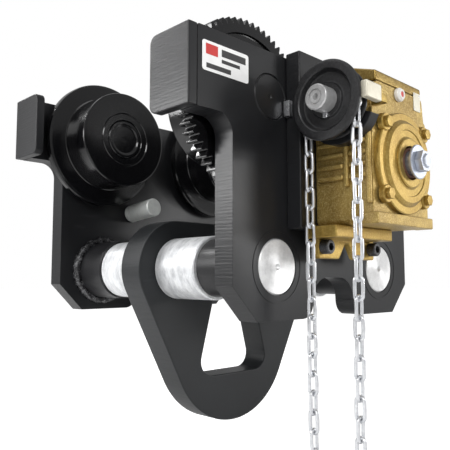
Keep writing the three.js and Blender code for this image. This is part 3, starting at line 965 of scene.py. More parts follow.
RUBBER = Plain("seal_rubber", (0.13, 0.055, 0.03), (0.07, 0.03, 0.018), 0.6)
WHITE = Plain("label_white", (0.86, 0.86, 0.85), (0.72, 0.72, 0.72), 0.42)
PRINT_BLACK = Plain("label_black", (0.02, 0.02, 0.02), (0.05, 0.05, 0.05), 0.45)
PRINT_RED = Plain("label_red", (0.55, 0.03, 0.025), (0.35, 0.02, 0.02), 0.45)
SIGHT = Plain("sight_plastic", (0.78, 0.76, 0.72), (0.6, 0.58, 0.54), 0.22)


class Stock:
    """Finishes made once and shared."""

    def __init__(self) -> None:
        """Start empty."""
        self.made: dict[str, bpy.types.Material] = {}

    def get(self, finish: Paint | Casting | Turned | Plated | Plain) -> bpy.types.Material:
        """Make a finish the first time that it is asked for."""
        if finish.name not in self.made:
            self.made[finish.name] = finish.build()
        return self.made[finish.name]

    def steel(self, centre: Point, axis: Lathe = Lathe.ALONG_Y, tone: float = 0.8) -> bpy.types.Material:
        """Turned steel of a given tone whose tool lines run round an axis, given in millimetres."""
        place = (centre[0] * MM, centre[1] * MM)
        name = f"turned_steel_{axis.value}_{centre[0]:.0f}_{centre[1]:.0f}"
        return self.get(Turned(name, (tone, tone, tone), (tone / 2, tone / 2, tone / 2),
                               0.4, 0.34, axis, place, 0.6))

    def sleeve(self, centre: Point) -> bpy.types.Material:
        """Mottled galvanised tube."""
        place = (centre[0] * MM, centre[1] * MM)
        return self.get(Turned(f"galvanised_{centre[0]:.0f}", (0.84, 0.85, 0.86), (0.19, 0.20, 0.22),
                               0.3, 0.36,
                               Lathe.ALONG_Y, place, 0.55, 0.0004))


# ---- side plates --------------------------------------------------------------
@dataclass
class SidePlates:
    """The two flame-cut side plates with their bumper plates, weld beads and rating label."""

    stock: Stock
    tip: float = 284
    top: float = 153
    horn_bottom: float = 46
    edge: float = 222
    horn_fillet: float = 27
    bottom: float = -229
    chamfer: Point = (47, 48)
    notch: Triple = (52, -169, 34)
    foot_fillet: float = 24
    shaft: Point = (133, -154)
    axle: Point = (146, 87)
    shaft_radius: float = 40
    axle_radius: float = 33.5

    def outline(self) -> list[Point]:
        """The outline of a plate."""
        half = [
            (self.tip, self.top, 3.0), (self.tip, self.horn_bottom, 0.0),
            (self.edge, self.horn_bottom, self.horn_fillet),
            (self.edge, self.bottom + self.chamfer[1], 0.0),
            (self.edge - self.chamfer[0], self.bottom, 0.0),
            (self.notch[0], self.bottom, self.foot_fillet), (self.notch[0], self.notch[1], self.notch[2]),
        ]
        return rounded(mirrored(half))

    def plate(self, side: str) -> None:
        """Make one plate.

        Args:
            side: "near" or "far".
        """
        low, high = span(f"{side}_side_plate")
        plate = slab(f"{side}_plate", self.outline(), low.y, high.y - low.y)
        holes = [rod("hole", (hand * x, z), radius, low.y - 2, high.y - low.y + 4)
                 for hand in (-1, 1) for x, z, radius in ((*self.shaft, self.shaft_radius + 0.3),
                                                          (*self.axle, self.axle_radius + 0.3))]
        if side == "near":
            centre = middle("output_shaft")
            holes.append(rod("hole", (0, centre.z), 25.4, low.y - 2, high.y - low.y + 4))
        bore(plate, *holes)
        soften(plate, 1.6 * MM, 3, 35)
        dress(smooth(plate), self.stock.get(BLACK), "carriage", "black_paint", f"{side}_side_plate")
        if side == "far":
            return
        for hand, name in ((-1, "left"), (1, "right")):
            lip = turned(f"shaft_ring_{name}", [
                (49.2, low.y), (49.2, low.y - 0.7), (51.4, low.y - 0.7), (51.4, low.y), (49.2, low.y)],
                (hand * self.shaft[0], self.shaft[1]), steps=96)
            dress(lip, self.stock.get(BLACK_FACE), "carriage", "black_paint")

    def bumper(self, side: str, hand: str) -> None:
        """Make one bumper plate and its welds.

        Args:
            side: "near" or "far".
            hand: "left" or "right".
        """
        node = f"bumper_plate_{side}_{hand}"
        low, high = span(node)
        inner, outer = (high.y, low.y) if side == "near" else (low.y, high.y)
        outline = rounded([(outer, low.z, 2.0), (outer, high.z, 2.0), (inner, high.z, 12.0),
                           (inner, low.z, 12.0)], 8)
        plate = slab(f"bumper_{side}_{hand}", outline, low.x, high.x - low.x, Lathe.ALONG_X)
        soften(plate, 1.8 * MM, 3, 35)
        dress(smooth(plate), self.stock.get(BLACK), "carriage", "black_paint", node)
        joint = high.x if hand == "left" else low.x
        web = (outer + 34) if side == "near" else (outer - 34)
        reach = 4.5 if hand == "left" else -4.5
        seed = len(node) + (3 if side == "near" else 7) + (11 if hand == "left" else 17)
        beads = [
            seam("weld", (joint + reach * 0.3, web, low.z + 3), (joint + reach * 0.3, web, high.z - 3),
                 5.5, seed),
            seam("weld", (joint + reach * 0.3, outer + (4 if side == "near" else -4), high.z - 2.6),
                 (joint + reach * 0.3, web, high.z - 2.6), 2.4, seed + 1),
        ]
        dress(fuse(f"bumper_weld_{side}_{hand}", *beads), self.stock.get(WELD_BLACK), "carriage",
              "black_paint")

    def label(self) -> None:
        """Make the rating label with plain printed bars."""
        low, high = span("rating_label")
        outline = rounded([(low.x, low.z, 4.0), (high.x, low.z, 4.0), (high.x, high.z, 4.0),
                           (low.x, high.z, 4.0)], 6)
        film = slab("rating_plate", outline, low.y + 0.35, high.y - low.y - 0.35)
        soften(film, 0.25 * MM, 2, 40)
        dress(smooth(film), self.stock.get(WHITE), "carriage", "label_white", "rating_label")
        width, height = high.x - low.x, high.z - low.z
        bars = [(0.40, 0.62, 0.93, 0.86), (0.40, 0.40, 0.80, 0.52), (0.08, 0.10, 0.60, 0.26)]
        marks = [block("bar", (low.x + a * width, low.y, low.z + b * height),
                       (low.x + c * width, low.y + 0.4, low.z + d * height), 0.15, 1)
                 for a, b, c, d in bars]
        dress(fuse("label_bars", *marks), self.stock.get(PRINT_BLACK), "carriage", "label_white")
        red = block("label_block", (low.x + 0.07 * width, low.y, low.z + 0.55 * height),
                    (low.x + 0.32 * width, low.y + 0.4, low.z + 0.90 * height), 0.15, 1)
        dress(red, self.stock.get(PRINT_RED), "carriage", "label_white")

    def build(self) -> None:
        """Make both plates and all that is fixed to them."""
        for side in ("near", "far"):
            self.plate(side)
            for hand in ("left", "right"):
                self.bumper(side, hand)
        self.label()


# ---- load shafts and load plate -------------------------------------------------
@dataclass
class LoadGroup:
    """The load plate, its two shafts, the galvanised sleeves and the welded collars."""

    stock: Stock
    shaft: Point = (133, -154)
    shaft_radius: float = 40
    sleeve_radius: float = 50
    eye: float = 80
    basin: Point = (139, -281)
    opening: tuple[float, ...] = (44, -178, 22, 88, -338, 26)

    def shafts(self) -> None:
        """Make the two load shafts."""
        for hand, name in ((-1, "left"), (1, "right")):
            low, high = span(f"load_shaft_{name}")
            centre = (hand * self.shaft[0], self.shaft[1])
            r = self.shaft_radius
            shaft = turned(f"shaft_{name}", [
                (0, low.y + 4.5), (1.6, low.y + 4.5), (4.6, low.y + 0.2), (5.2, low.y), (r - 2.2, low.y),
                (r, low.y + 2.2), (r, high.y - 2.2), (r - 2.2, high.y), (5.2, high.y), (4.6, high.y - 0.2),
                (1.6, high.y - 4.5), (0, high.y - 4.5)], centre, steps=96)
            dress(shaft, self.stock.steel(centre), "carriage", "turned_steel", f"load_shaft_{name}")

    def sleeves(self) -> None:
        """Make the sleeves, the collars and the beads round the collars."""
        for hand, name in ((-1, "left"), (1, "right")):
            centre = (hand * self.shaft[0], self.shaft[1])
            for side in ("near", "far"):
                low, high = span(f"sleeve_{side}_{name}")
                r, b = self.sleeve_radius, 41
                third = (high.y - low.y) / 3
                sleeve = turned(f"sleeve_tube_{side}_{name}", [
                    (b, low.y), (r - 1.8, low.y), (r, low.y + 1.8), (r, low.y + third),
                    (r - 0.5, low.y + third + 0.6),
                    (r - 0.5, low.y + third + 1.6), (r, low.y + third + 2.2), (r, high.y - 1.8),
                    (r - 1.8, high.y),
                    (b, high.y), (b, low.y)], centre, steps=96)
                dress(sleeve, self.stock.sleeve(centre), "carriage", "zinc_plate", f"sleeve_{side}_{name}")
                self.collar(side, name, centre)

    def collar(self, side: str, name: str, centre: Point) -> None:
        """Make one collar and its weld.

        Args:
            side: "near" or "far".
            name: "left" or "right".
            centre: the shaft's axis.
        """
        low, high = span(f"collar_{side}_{name}")
        radius = (high.x - low.x) / 2 - 8
        plate, free = (low.y, high.y) if side == "near" else (high.y, low.y)
        away = 1 if side == "near" else -1
        collar = turned(f"collar_ring_{side}_{name}", [
            (40.6, plate), (radius, plate), (radius, free - away * 1.5), (radius - 1.5, free), (40.6, free),
            (40.6, plate)], centre, steps=96)
        dress(collar, self.stock.get(BLACK_FACE), "carriage", "black_paint", f"collar_{side}_{name}")
        weld = bead(f"collar_weld_{side}_{name}", centre, radius + 3.4, plate + away * 3.2, 8.8,
                    29 if side == "near" else 31)
        dress(weld, self.stock.get(WELD_BLACK), "carriage", "black_paint")

    def plate(self) -> None:
        """Make the load plate: two eyes, a round basin and one opening."""
        low, high = span("load_plate")
        x, z = self.shaft
        basin, basin_z = self.basin
        rise = z - basin_z
        touch = math.atan2(rise, x) - math.acos((basin - self.eye) / math.hypot(x, rise))
        outline = [
            *arc(x, z, self.eye, math.pi / 2, touch, 30),
            *arc(0, basin_z, basin, touch, -math.pi - touch, 56),
            *arc(-x, z, self.eye, -math.pi - touch, -1.5 * math.pi, 30),
        ]
        top_half, top, top_fillet, bottom_half, bottom, bottom_fillet = self.opening
        hole = rounded([(top_half, top, top_fillet), (bottom_half, bottom, bottom_fillet),
                        (-bottom_half, bottom, bottom_fillet), (-top_half, top, top_fillet)], 12)
        plate = slab("load_beam", outline, low.y, high.y - low.y)
        cutters = [slab("hole", hole, low.y - 2, high.y - low.y + 4)]
        cutters += [rod("hole", (hand * x, z), self.shaft_radius + 0.5, low.y - 2, high.y - low.y + 4)
                    for hand in (-1, 1)]
        bore(plate, *cutters)
        soften(plate, 2.4 * MM, 3, 35)
        dress(smooth(plate), self.stock.get(GREY), "carriage", "grey_paint", "load_plate")

    def build(self) -> None:
        """Make all of it."""
        self.shafts()
        self.sleeves()
        self.plate()


# ---- wheels ---------------------------------------------------------------------
@dataclass
class Wheels:
    """Four flanged wheels on stub axles; the near two carry gear rings that the pinion drives."""

    stock: Stock
    axle: Point = (146, 87)
    tread: float = 87
    flange: float = 118
    inner: float = 116
    flange_face: float = 179
    hub: float = 201
    module: float = 4
    teeth: int = 61
    pinion_teeth: int = 26

    def phase(self, hand: int, output_z: float) -> float:
        """The angle of a wheel tooth that meshes with a pinion tooth at angle 0."""
        toward = math.atan2(self.axle[1] - output_z, hand * self.axle[0])
        pitch = math.tau / self.pinion_teeth
        past = toward - math.floor(toward / pitch) * pitch
        return toward + math.pi + past * self.pinion_teeth / self.teeth + math.pi / self.teeth

    def wheel(self, side: str, hand: str) -> None:
        """Make one wheel, its cap and its axle.

        Args:
            side: "near" or "far".
            hand: "left" or "right".
        """
        way = -1 if side == "near" else 1
        turn = -1 if hand == "left" else 1
        centre = (turn * self.axle[0], self.axle[1])
        body = f"wheel_{side}_{hand}"
        face = self.inner
        hub = [
            (36.2, self.hub), (36.2, face + 1), (37.2, face), (47, face), (48.4, face + 1.3), (50, face),
            (self.tread - 3, face), (self.tread - 0.9, face + 0.9),
            (self.tread, face + 3), (self.tread, self.flange_face - 1.5),
            (self.tread + 1.5, self.flange_face),
        ]
        if side == "far":
            rim = [(self.flange - 6, self.flange_face + 4), (self.flange - 1.5, self.flange_face + 5.5),
                   (self.flange, self.flange_face + 8), (self.flange, self.hub - 5),
                   (self.flange - 2, self.hub - 3),
                   (self.flange - 6, self.hub - 2.5), (60, self.hub), (36.2, self.hub)]
        else:
            rim = [(96, self.flange_face), (96, self.flange_face + 4), (60, self.flange_face + 4),
                   (60, self.hub),
                   (36.2, self.hub)]
        wheel = turned(f"wheel_body_{side}_{hand}", [(r, way * y) for r, y in hub + rim], centre, steps=96)
        parts = [wheel]
        if side == "near":
            output_z = middle("output_shaft").z
            ring = gear("ring", centre, self.teeth, self.module, self.phase(turn, output_z),
                        -self.hub, self.hub - self.flange_face)
            cut_face = turned("recess", [(0, -self.hub - 2), (104, -self.hub - 2), (102, -self.hub + 3.5),
                                         (64, -self.hub + 3.5), (62, -self.hub + 30),
                                         (0, -self.hub + 30)], centre)
            bore(ring, cut_face)
            parts.append(smooth(ring))
        dress(fuse(f"wheel_body_{side}_{hand}", *parts), self.stock.get(WHEEL_BLACK), body,
              "gloss_black", body)
        cap = turned(f"wheel_cap_disc_{side}_{hand}", [(r, way * (face + y)) for r, y in (
            (0, 3.4), (4, 3.4), (4.6, 3.0), (25, 3.0), (27, 2.2), (28.4, 0.4), (29.4, 0), (33.6, 0),
            (35, 1.4),
            (35, 9), (0, 9))], centre, steps=80)
        dress(cap, self.stock.get(WHEEL_BLACK), body, "gloss_black", f"wheel_cap_{side}_{hand}")
        self.axle_of(side, hand, way, centre)

    def axle_of(self, side: str, hand: str, way: int, centre: Point) -> None:
        """Make one stub axle and its bearing.

        Args:
            side: "near" or "far".
            hand: "left" or "right".
            way: -1 on the near side and 1 on the far side.
            centre: the axle's axis.
        """
        low, high = span(f"axle_{side}_{hand}")
        deep, shallow = max(abs(low.y), abs(high.y)), min(abs(low.y), abs(high.y))
        outer = deep - 0.4
        pin = turned(f"axle_pin_{side}_{hand}", [(r, way * y) for r, y in (
            (0, outer - 1.6), (2, outer - 1.6), (3.4, outer), (30.4, outer), (31, outer - 0.9),
            (32, outer - 0.9),
            (32.6, outer), (33.4, outer - 0.8), (33.5, deep - 36), (22, deep - 36), (22, shallow + 1.5),
            (20.5, shallow), (0, shallow))], centre, steps=80)
        dress(pin, self.stock.get(BLACK_FACE), "carriage", "turned_steel", f"axle_{side}_{hand}")
        low, high = span(f"bearing_{side}_{hand}")
        near, far = low.y, high.y
        race = turned(f"bearing_race_{side}_{hand}", [
            (23, near + 1), (24, near), (27, near), (27.6, near + 1.4), (31, near + 1.4), (31.6, near),
            (34.6, near),
            (35.6, near + 1), (35.6, far - 1), (34.6, far), (31.6, far), (31, far - 1.4), (27.6, far - 1.4),
            (27, far), (24, far), (23, far - 1), (23, near + 1)], centre, steps=64)
        dress(race, self.stock.steel(centre), f"wheel_{side}_{hand}", "turned_steel",
              f"bearing_{side}_{hand}")

    def build(self) -> None:
        """Make the four wheels."""
        for side in ("near", "far"):
            for hand in ("left", "right"):
                self.wheel(side, hand)


# ---- gearbox ----------------------------------------------------------------------
@dataclass
class Gearbox:
    """The worm gearbox on its pad: cast housing with ribs, lugged cover, top cap, foot bracket and output."""

    stock: Stock
    half: float = 76
    flange: float = 73
    lug: Triple = (54, 51, -48)

    def castings(self) -> None:
        """Make the housing, its ribs, the cover and the cap."""
        low, high = span("gearbox_housing")
        shell = from_cad("gearbox_housing", "housing_shell", 2.2, 3)
        parts = [shell]
        face = -self.half - 7
        for z in (-34, -18, -2, 14):
            for y_from, y_to in ((low.y + 8, low.y + 36), (low.y + 44, high.y - 5)):
                parts.append(block("rib", (face, y_from, z), (face + 9, y_to, z + 8), 3.2, 4))
        parts.append(block("rib", (face + 0.5, low.y + 36, -44), (face + 8, low.y + 44, 32), 3.0, 4))
        parts.append(block("rib", (face + 0.5, low.y + 1, -70), (face + 8, low.y + 9, 32), 3.0, 4))
        foot = block("foot", (-self.half - 1, low.y - 7.5, low.z),
                     (self.half + 1, low.y + 20, low.z + 16), 2.0, 3)
        parts.append(foot)
        dress(fuse("housing_shell", *parts), self.stock.get(GOLD_ROUGH), "carriage", "gold_paint",
              "gearbox_housing")
        self.cover()
        cap = from_cad("gearbox_top_cap", "top_cap_cast", 2.6, 3)
        # the cap gets the darker copy of the gold paint, as painted shade
        dress(cap, self.stock.get(GOLD_SHADED), "carriage", "gold_paint", "gearbox_top_cap")

    def cover(self) -> None:
        """Make the front cover: plate, step ring, boss and four bolt lugs."""
        low, high = span("gearbox_cover")
        z = middle("output_shaft").z
        front = low.y
        plate = turned("plate", [
            (60, high.y), (self.flange, high.y), (self.flange, high.y - 6.2),
            (self.flange - 1.5, high.y - 7.6),
            (62, high.y - 7.6), (60, high.y - 6), (60, high.y)], (0, z), steps=120)
        dome = turned("dome", [
            (24, high.y - 4), (24, front + 0.6), (24.6, front), (34.2, front), (36, front + 1.2),
            (36, front + 3.2),
            (38, front + 4.2), (47, front + 4.2), (48, front + 2.6), (56.6, front + 2.6), (59, front + 4.2),
            (61, front + 6), (61, high.y - 9), (63, high.y - 7.0), (63, high.y - 4), (24, high.y - 4)],
            (0, z), steps=120)
        parts = [smooth(plate), dome]
        x, up, down = self.lug
        for hand in (-1, 1):
            for level in (up, down):
                parts.append(turned("lug", [
                    (0, high.y - 2), (13, high.y - 2), (12.4, high.y - 8.6), (11.4, high.y - 9.6),
                    (0, high.y - 9.6)],
                    (hand * x, z + level), steps=40))
        dress(fuse("cover_plate", *parts), self.stock.get(GOLD), "carriage", "gold_paint", "gearbox_cover")

    def bolts(self) -> None:
        """Make the hexagon bolts of the cover."""
        for hand in ("left", "right"):
            for level in ("top", "bottom"):
                node = f"cover_bolt_{level}_{hand}"
                low, high = span(node)
                at = middle(node)
                head = rod("head", (at.x, at.z), 8.6, low.y + 0.2, high.y - low.y - 1.6, 6)
                soften(head, 0.9 * MM, 2, 35)
                collar = turned("collar", [(0, high.y), (8.4, high.y), (8.4, high.y - 1),
                                           (7.8, high.y - 1.6),
                                           (0, high.y - 1.6)], (at.x, at.z), steps=32)
                bolt = fuse(f"cover_bolt_head_{level}_{hand}", smooth(head), collar)
                dress(bolt, self.stock.get(GOLD), "carriage", "gold_paint", node)

    def mounting(self) -> None:
        """Make the pad, the foot bracket and its socket screws."""
        pad = from_cad("gearbox_pad", "pad_block", 2.0, 3)
        dress(pad, self.stock.get(BLACK), "carriage", "black_paint", "gearbox_pad")
        bracket = from_cad("foot_bracket", "foot_casting", 2.0, 3)
        dress(bracket, self.stock.get(GOLD), "carriage", "gold_paint", "foot_bracket")
        for hand in ("left", "right"):
            node = f"foot_screw_{hand}"
            low, high = span(node)
            at = middle(node)
            radius = (high.z - low.z) / 2
            head = turned("head", [
                (0, high.y), (radius, high.y), (radius, low.y + 1.4), (radius - 1.4, low.y), (0, low.y)],
                (at.x, at.z), steps=48)
            bore(head, rod("socket", (at.x, at.z), radius * 0.56, low.y - 1, 8, 6))
            soften(head, 0.4 * MM, 2, 40)
            dress(smooth(head), self.stock.get(OXIDE), "carriage", "black_oxide", node)

    def output(self) -> None:
        """Make the output shaft, the pinion, the seal, the washer and the nut."""
        z = middle("output_shaft").z
        low, high = span("output_shaft")
        thread_from, tip = low.y + 20, low.y
        profile = [(0, high.y), (15.8, high.y), (17, high.y - 1.2), (17, low.y + 17), (10, low.y + 16.9)]
        turns = 9
        pitch = (thread_from - tip - 5) / turns
        for i in range(turns):
            at = low.y + 16.6 - i * pitch
            profile += [(10, at), (9.1, at - pitch / 2)]
        profile += [(9.6, tip + 1.4), (8.4, tip), (0, tip)]
        shaft = turned("output_bar", profile, (0, z), steps=64)
        dress(shaft, self.stock.get(BLUE_ZINC), "output", "zinc_plate", "output_shaft")
        low, high = span("pinion")
        pinion = gear("pinion_gear", (0, z), 26, 4, 0.0, low.y, high.y - low.y)
        bore(pinion, rod("hole", (0, z), 17.6, low.y - 1, 60))
        dress(smooth(pinion), self.stock.get(OXIDE), "output", "black_oxide", "pinion")
        for node, name, finish, body, slot in (
                ("worm_wheel", "worm_gear", BRONZE, "output", "bronze"),
                ("pinion_bush", "bush", BRONZE, "carriage", "bronze")):
            dress(from_cad(node, name, 0.5, 2), self.stock.get(finish), body, slot, node)
        low, high = span("output_seal")
        seal = turned("seal_ring", [
            (17.6, high.y), (17.6, low.y + 1.2), (18.4, low.y + 0.2), (19.4, low.y + 0.8),
            (20.2, low.y), (21.2, low.y),
            (21.6, low.y + 0.8), (21.6, high.y), (17.6, high.y)], (0, z), steps=64)
        dress(seal, self.stock.get(RUBBER), "carriage", "seal_rubber", "output_seal")
        low, high = span("output_washer")
        washer = turned("washer_ring", [
            (10.6, high.y), (10.6, low.y), (23.4, low.y), (24.5, low.y + 0.9), (24.5, high.y - 0.8),
            (23.6, high.y),
            (10.6, high.y)], (0, z), steps=72)
        dress(washer, self.stock.get(BLUE_ZINC), "output", "zinc_plate", "output_washer")
        low, high = span("output_nut")
        nut = rod("nut_hex", (0, z), 15.8, low.y, high.y - low.y, 6)
        bore(nut, rod("hole", (0, z), 10.3, low.y - 1, 30, 48))
        chamfer = turned("chamfer", [(14.2, low.y - 1), (15.2, low.y + 0.2), (17.5, low.y + 1.9),
                                     (17.5, low.y - 1),
                                     (14.2, low.y - 1)], (0, z), steps=64)
        bore(nut, chamfer)
        soften(nut, 0.35 * MM, 2, 40)
        dress(smooth(nut), self.stock.get(BLUE_ZINC), "output", "zinc_plate", "output_nut")

    def trim(self) -> None:
        """Make the sight plug, the nameplate with its rivets and the strip on the pad."""
        low, high = span("oil_sight_plug")
        at = middle("oil_sight_plug")
        plug = turned("sight_ring", [
            (0, high.y), (10, high.y), (10, low.y + 3.4), (9.2, low.y + 2.2), (8.2, low.y + 1.6),
            (7, low.y),
            (4.6, low.y), (4.2, low.y + 1.2), (0, low.y + 1.2)], (at.x, at.z), steps=48)
        dress(plug, self.stock.get(SIGHT), "carriage", "sight_plastic", "oil_sight_plug")
        dot = turned("sight_dot", [(0, low.y + 1.4), (4, low.y + 1.4), (3.8, low.y + 0.6),
                                   (0, low.y + 0.3)],
                     (at.x, at.z), steps=32)
        dress(dot, self.stock.get(PRINT_RED), "carriage", "sight_plastic")
        low, high = span("gearbox_nameplate")
        plate = slab("name_plate", rounded([(low.x, low.z, 2), (high.x, low.z, 2), (high.x, high.z, 2),
                                            (low.x, high.z, 2)], 4), low.y + 0.3, high.y - low.y - 0.3)
        soften(plate, 0.2 * MM, 1, 40)
        dress(smooth(plate), self.stock.get(BEIGE_ZINC), "carriage", "zinc_plate", "gearbox_nameplate")
        rivets = [turned("rivet", [(0, low.y + 0.4), (1.6, low.y + 0.4), (1.2, low.y), (0, low.y)],
                         (x, zz), steps=16)
                  for x in (low.x + 3, high.x - 3) for zz in (low.z + 3, high.z - 3)]
        dress(fuse("name_plate_rivets", *rivets), self.stock.get(CHAIN_ZINC), "carriage", "zinc_plate")
        pad_low, _ = span("gearbox_pad")
        strip = block("pad_strip", (pad_low.x - 7, pad_low.y + 14, 62),
                      (pad_low.x + 0.5, pad_low.y + 25, 86), 1.2, 2)
        dress(strip, self.stock.get(CHAIN_ZINC), "carriage", "zinc_plate")

    def build(self) -> None:
        """Make all of it."""
        self.castings()
        self.bolts()
        self.mounting()
        self.output()
        self.trim()


# ---- hand drive ---------------------------------------------------------------------
@dataclass
class HandDrive:
    """The worm shaft, the hand wheel, its chain guide and the hand chain."""

    stock: Stock
    flange: float = 55
    rear_flange: float = 49
    pocket: float = 27
    groove: float = 8.8
    shaft_radius: float = 17.5
    link_pitch: float = 25
    wire: float = 2.5
    link_half_width: float = 6
    bend: float = 36
    seed: int = 11

    def axis(self) -> Point:
        """The worm's axis: (y, z)."""
        at = middle("hand_wheel")
        return at.y, at.z

    def worm(self) -> None:
        """Make the worm shaft's end and keep the thread of its CAD solid."""
        low, _ = span("worm_shaft")
        y, z = self.axis()
        shaft = from_cad("worm_shaft", "worm_bar", 0.3, 1, 50)
        bore(shaft, block("cut", (low.x - 1, y - 20, z - 20), (low.x + 58, y + 20, z + 20)))
        end = turned("shaft_end", [
            (0, low.x + 6), (2.2, low.x + 6), (4.4, low.x + 0.6), (8.4, low.x + 0.3),
            (8.7, low.x + 1.8), (10.4, low.x + 1.8),
            (10.7, low.x + 0.3), (15.9, low.x + 0.3), (17.5, low.x + 1.9), (17.5, low.x + 62),
            (0, low.x + 62)],
            (y, z), Lathe.ALONG_X, 64)
        dress(fuse("worm_bar", shaft, end), self.stock.steel((y, z), Lathe.ALONG_X, 0.5), "worm",
              "turned_steel", "worm_shaft")

    def wheel(self) -> None:
        """Make the hand wheel and its key."""
        low, high = span("hand_wheel")
        y, z = self.axis()
        left, right = low.x, high.x
        mid = middle("hand_chain").x
        g, f, rear = self.groove, self.flange, self.rear_flange
        lathe = turned("hand_wheel_rim", [
            (17.8, left + 5), (23.6, left + 5), (24.5, left + 5.8), (25.4, left + 7.6), (27.5, left + 8.2),
            (37, left + 8.2), (39, left + 7.4), (42, left + 1.2), (43.4, left), (f - 3.4, left),
            (f - 1, left + 0.8),
            (f, left + 2.6), (f, mid - g - 3), (f - 1, mid - g - 1.6), (f - 4, mid - g - 0.3),
            (self.pocket + 4, mid - g + 0.4), (self.pocket, mid - g + 3), (self.pocket, mid + g - 3),
            (self.pocket + 4, mid + g - 0.4), (rear - 3, mid + g + 0.3), (rear - 0.8, mid + g + 0.9),
            (rear, mid + g + 2), (rear, right - 1.6), (rear - 1.4, right), (17.8, right), (17.8, left + 5)],
            (y, z), Lathe.ALONG_X, 96)
        slot = block("slot", (left - 1, y - 4, z - 24.5), (right + 1, y + 4, z - 10))
        bore(lathe, slot)
        dress(smooth(lathe), self.stock.get(WHEEL_CAST), "worm", "black_oxide", "hand_wheel")
        key = from_cad("hand_wheel_key", "drive_key", 0.6, 2)
        dress(key, self.stock.get(CHAIN_ZINC), "worm", "zinc_plate", "hand_wheel_key")

    def guide(self) -> None:
        """Make the chain guide and its keeper block with an arm."""
        y, z = self.axis()
        front = y - self.rear_flange
        keeper = block("chain_keeper", (-124, front - 13, z - 7), (-88, front - 3.5, z + 15), 1.6, 3)
        dress(keeper, self.stock.get(BEIGE_ZINC), "carriage", "zinc_plate")
        arm = [block("arm", (-92, front - 9, z - 4), (-66, front - 3, z + 8), 1.2, 3),
               block("arm", (-74, front - 9, z - 4), (-66, front + 12, z + 8), 1.2, 3)]
        dress(fuse("keeper_arm", *arm), self.stock.get(GOLD), "carriage", "gold_paint")
        dress(from_cad("chain_guide", "guide_strap", 1.2, 2), self.stock.get(BLACK_FACE), "carriage",
              "black_paint", "chain_guide")

    def path(self) -> tuple[Callable[[float], tuple[Vector, Vector]], float]:
        """The chain's loop.

        Returns:
            A function from a distance along it to (place, direction), and the loop's length.
        """
        y, z = self.axis()
        low, _ = span("hand_chain")
        x = middle("hand_chain").x
        over, bottom = 39.0, low.z + 45.4
        points = [*arc(y, z, over, math.pi, 0, 48), *arc(y, bottom, self.bend, 0, -math.pi, 48)]
        loop = [Vector((x, a, b)) for a, b in points]
        loop.append(loop[0])
        runs = [(b - a).length for a, b in zip(loop, loop[1:])]
        total = sum(runs)

        def along(distance: float) -> tuple[Vector, Vector]:
            """Place and direction at a distance along the loop."""
            distance %= total
            for first, second, run in zip(loop, loop[1:], runs):
                if distance <= run:
                    return first.lerp(second, distance / run), (second - first).normalized()
                distance -= run
            return loop[0], Vector((0, 0, 1))
        return along, total

    def link(self) -> bpy.types.Object:
        """One welded link, its long axis on X and its plane on XY."""
        deselect()
        bpy.ops.mesh.primitive_torus_add(major_segments=24, minor_segments=10,
                                         major_radius=self.link_half_width * MM,
                                         minor_radius=self.wire * MM, location=(0, 0, 0))
        obj = bpy.context.object
        straight = (self.link_pitch + 2 * self.wire - 2 * self.link_half_width) / 2 * MM
        with editing(obj, select=False):
            for side in (-1, 1):
                bm = bmesh.from_edit_mesh(obj.data)
                for vertex in bm.verts:
                    vertex.select_set(vertex.co.x * side > 1e-6)
                bmesh.update_edit_mesh(obj.data)
                bpy.ops.transform.translate(value=(side * straight, 0, 0))
                bpy.ops.mesh.select_all(action="DESELECT")
        return smooth(obj, 70)

    def chain(self) -> None:
        """Make the hand chain, a closed loop of links that alternate by a quarter turn."""
        rng = random.Random(self.seed)
        along, total = self.path()
        count = 2 * round(total / self.link_pitch / 2)
        pitch = total / count
        pattern = self.link()
        links = []
        for i in range(count):
            place, _ = along(i * pitch)
            ahead, _ = along(i * pitch + pitch * 0.5)
            behind, _ = along(i * pitch - pitch * 0.5)
            heading = (ahead - behind).normalized()
            flat = AXIS_X if i % 2 else heading.cross(AXIS_X)
            tilt = Matrix.Rotation(rng.uniform(-0.05, 0.05), 4, heading)
            flat = (tilt @ flat).normalized()
            turn = Matrix((heading, flat, heading.cross(flat))).transposed().to_4x4()
            links.append(copy_of(pattern, f"link_{i}", Matrix.Translation(place * MM) @ turn))
        bpy.data.objects.remove(pattern)
        chain = smooth(fuse("chain_loop", *links), 70)
        dress(chain, self.stock.get(CHAIN_ZINC), "hand_chain", "zinc_plate", "hand_chain")

    def build(self) -> None:
        """Make all of it."""
        self.worm()
        self.wheel()
        self.guide()
        self.chain()


@dataclass
class Stub:
    """The anti-tilt stub on the far plate."""

    stock: Stock
    lean: float = 0.1
    reach: float = 37.6

    def build(self) -> None:
        """Make it."""
        at = middle("anti_tilt_stub")
        reach = self.reach
        stub = turned("stub_bar", [
            (0, -reach), (15.6, -reach), (17.6, -reach + 2), (17.6, reach - 12), (17, reach - 11.4),
            (17, reach - 9),
            (17.6, reach - 8.4), (17.6, reach), (0, reach)], (0, 0), steps=64)
        turn = Matrix.Rotation(-self.lean, 4, "X")
        stub.data.transform(Matrix.Translation(at * MM) @ turn)
        dress(stub, self.stock.get(STUB_ZINC), "carriage", "zinc_plate", "anti_tilt_stub")


# ---- studio -----------------------------------------------------------------------
def lamp(name: str, place: Triple, target: Triple, size: float, power: float) -> bpy.types.Object:
    """An area lamp.

    Args:
        name: its name.
        place: where it is.
        target: what it points at.
        size: its side.
        power: watts.

    Returns:
        The lamp.
    """
    data = bpy.data.lights.new(name, "AREA")
    data.size = size
    data.energy = power
    obj = bpy.data.objects.new(name, data)
    bpy.context.scene.collection.objects.link(obj)
    obj.location = place
    obj.rotation_euler = (Vector(target) - Vector(place)).to_track_quat("-Z", "Y").to_euler()
    return obj


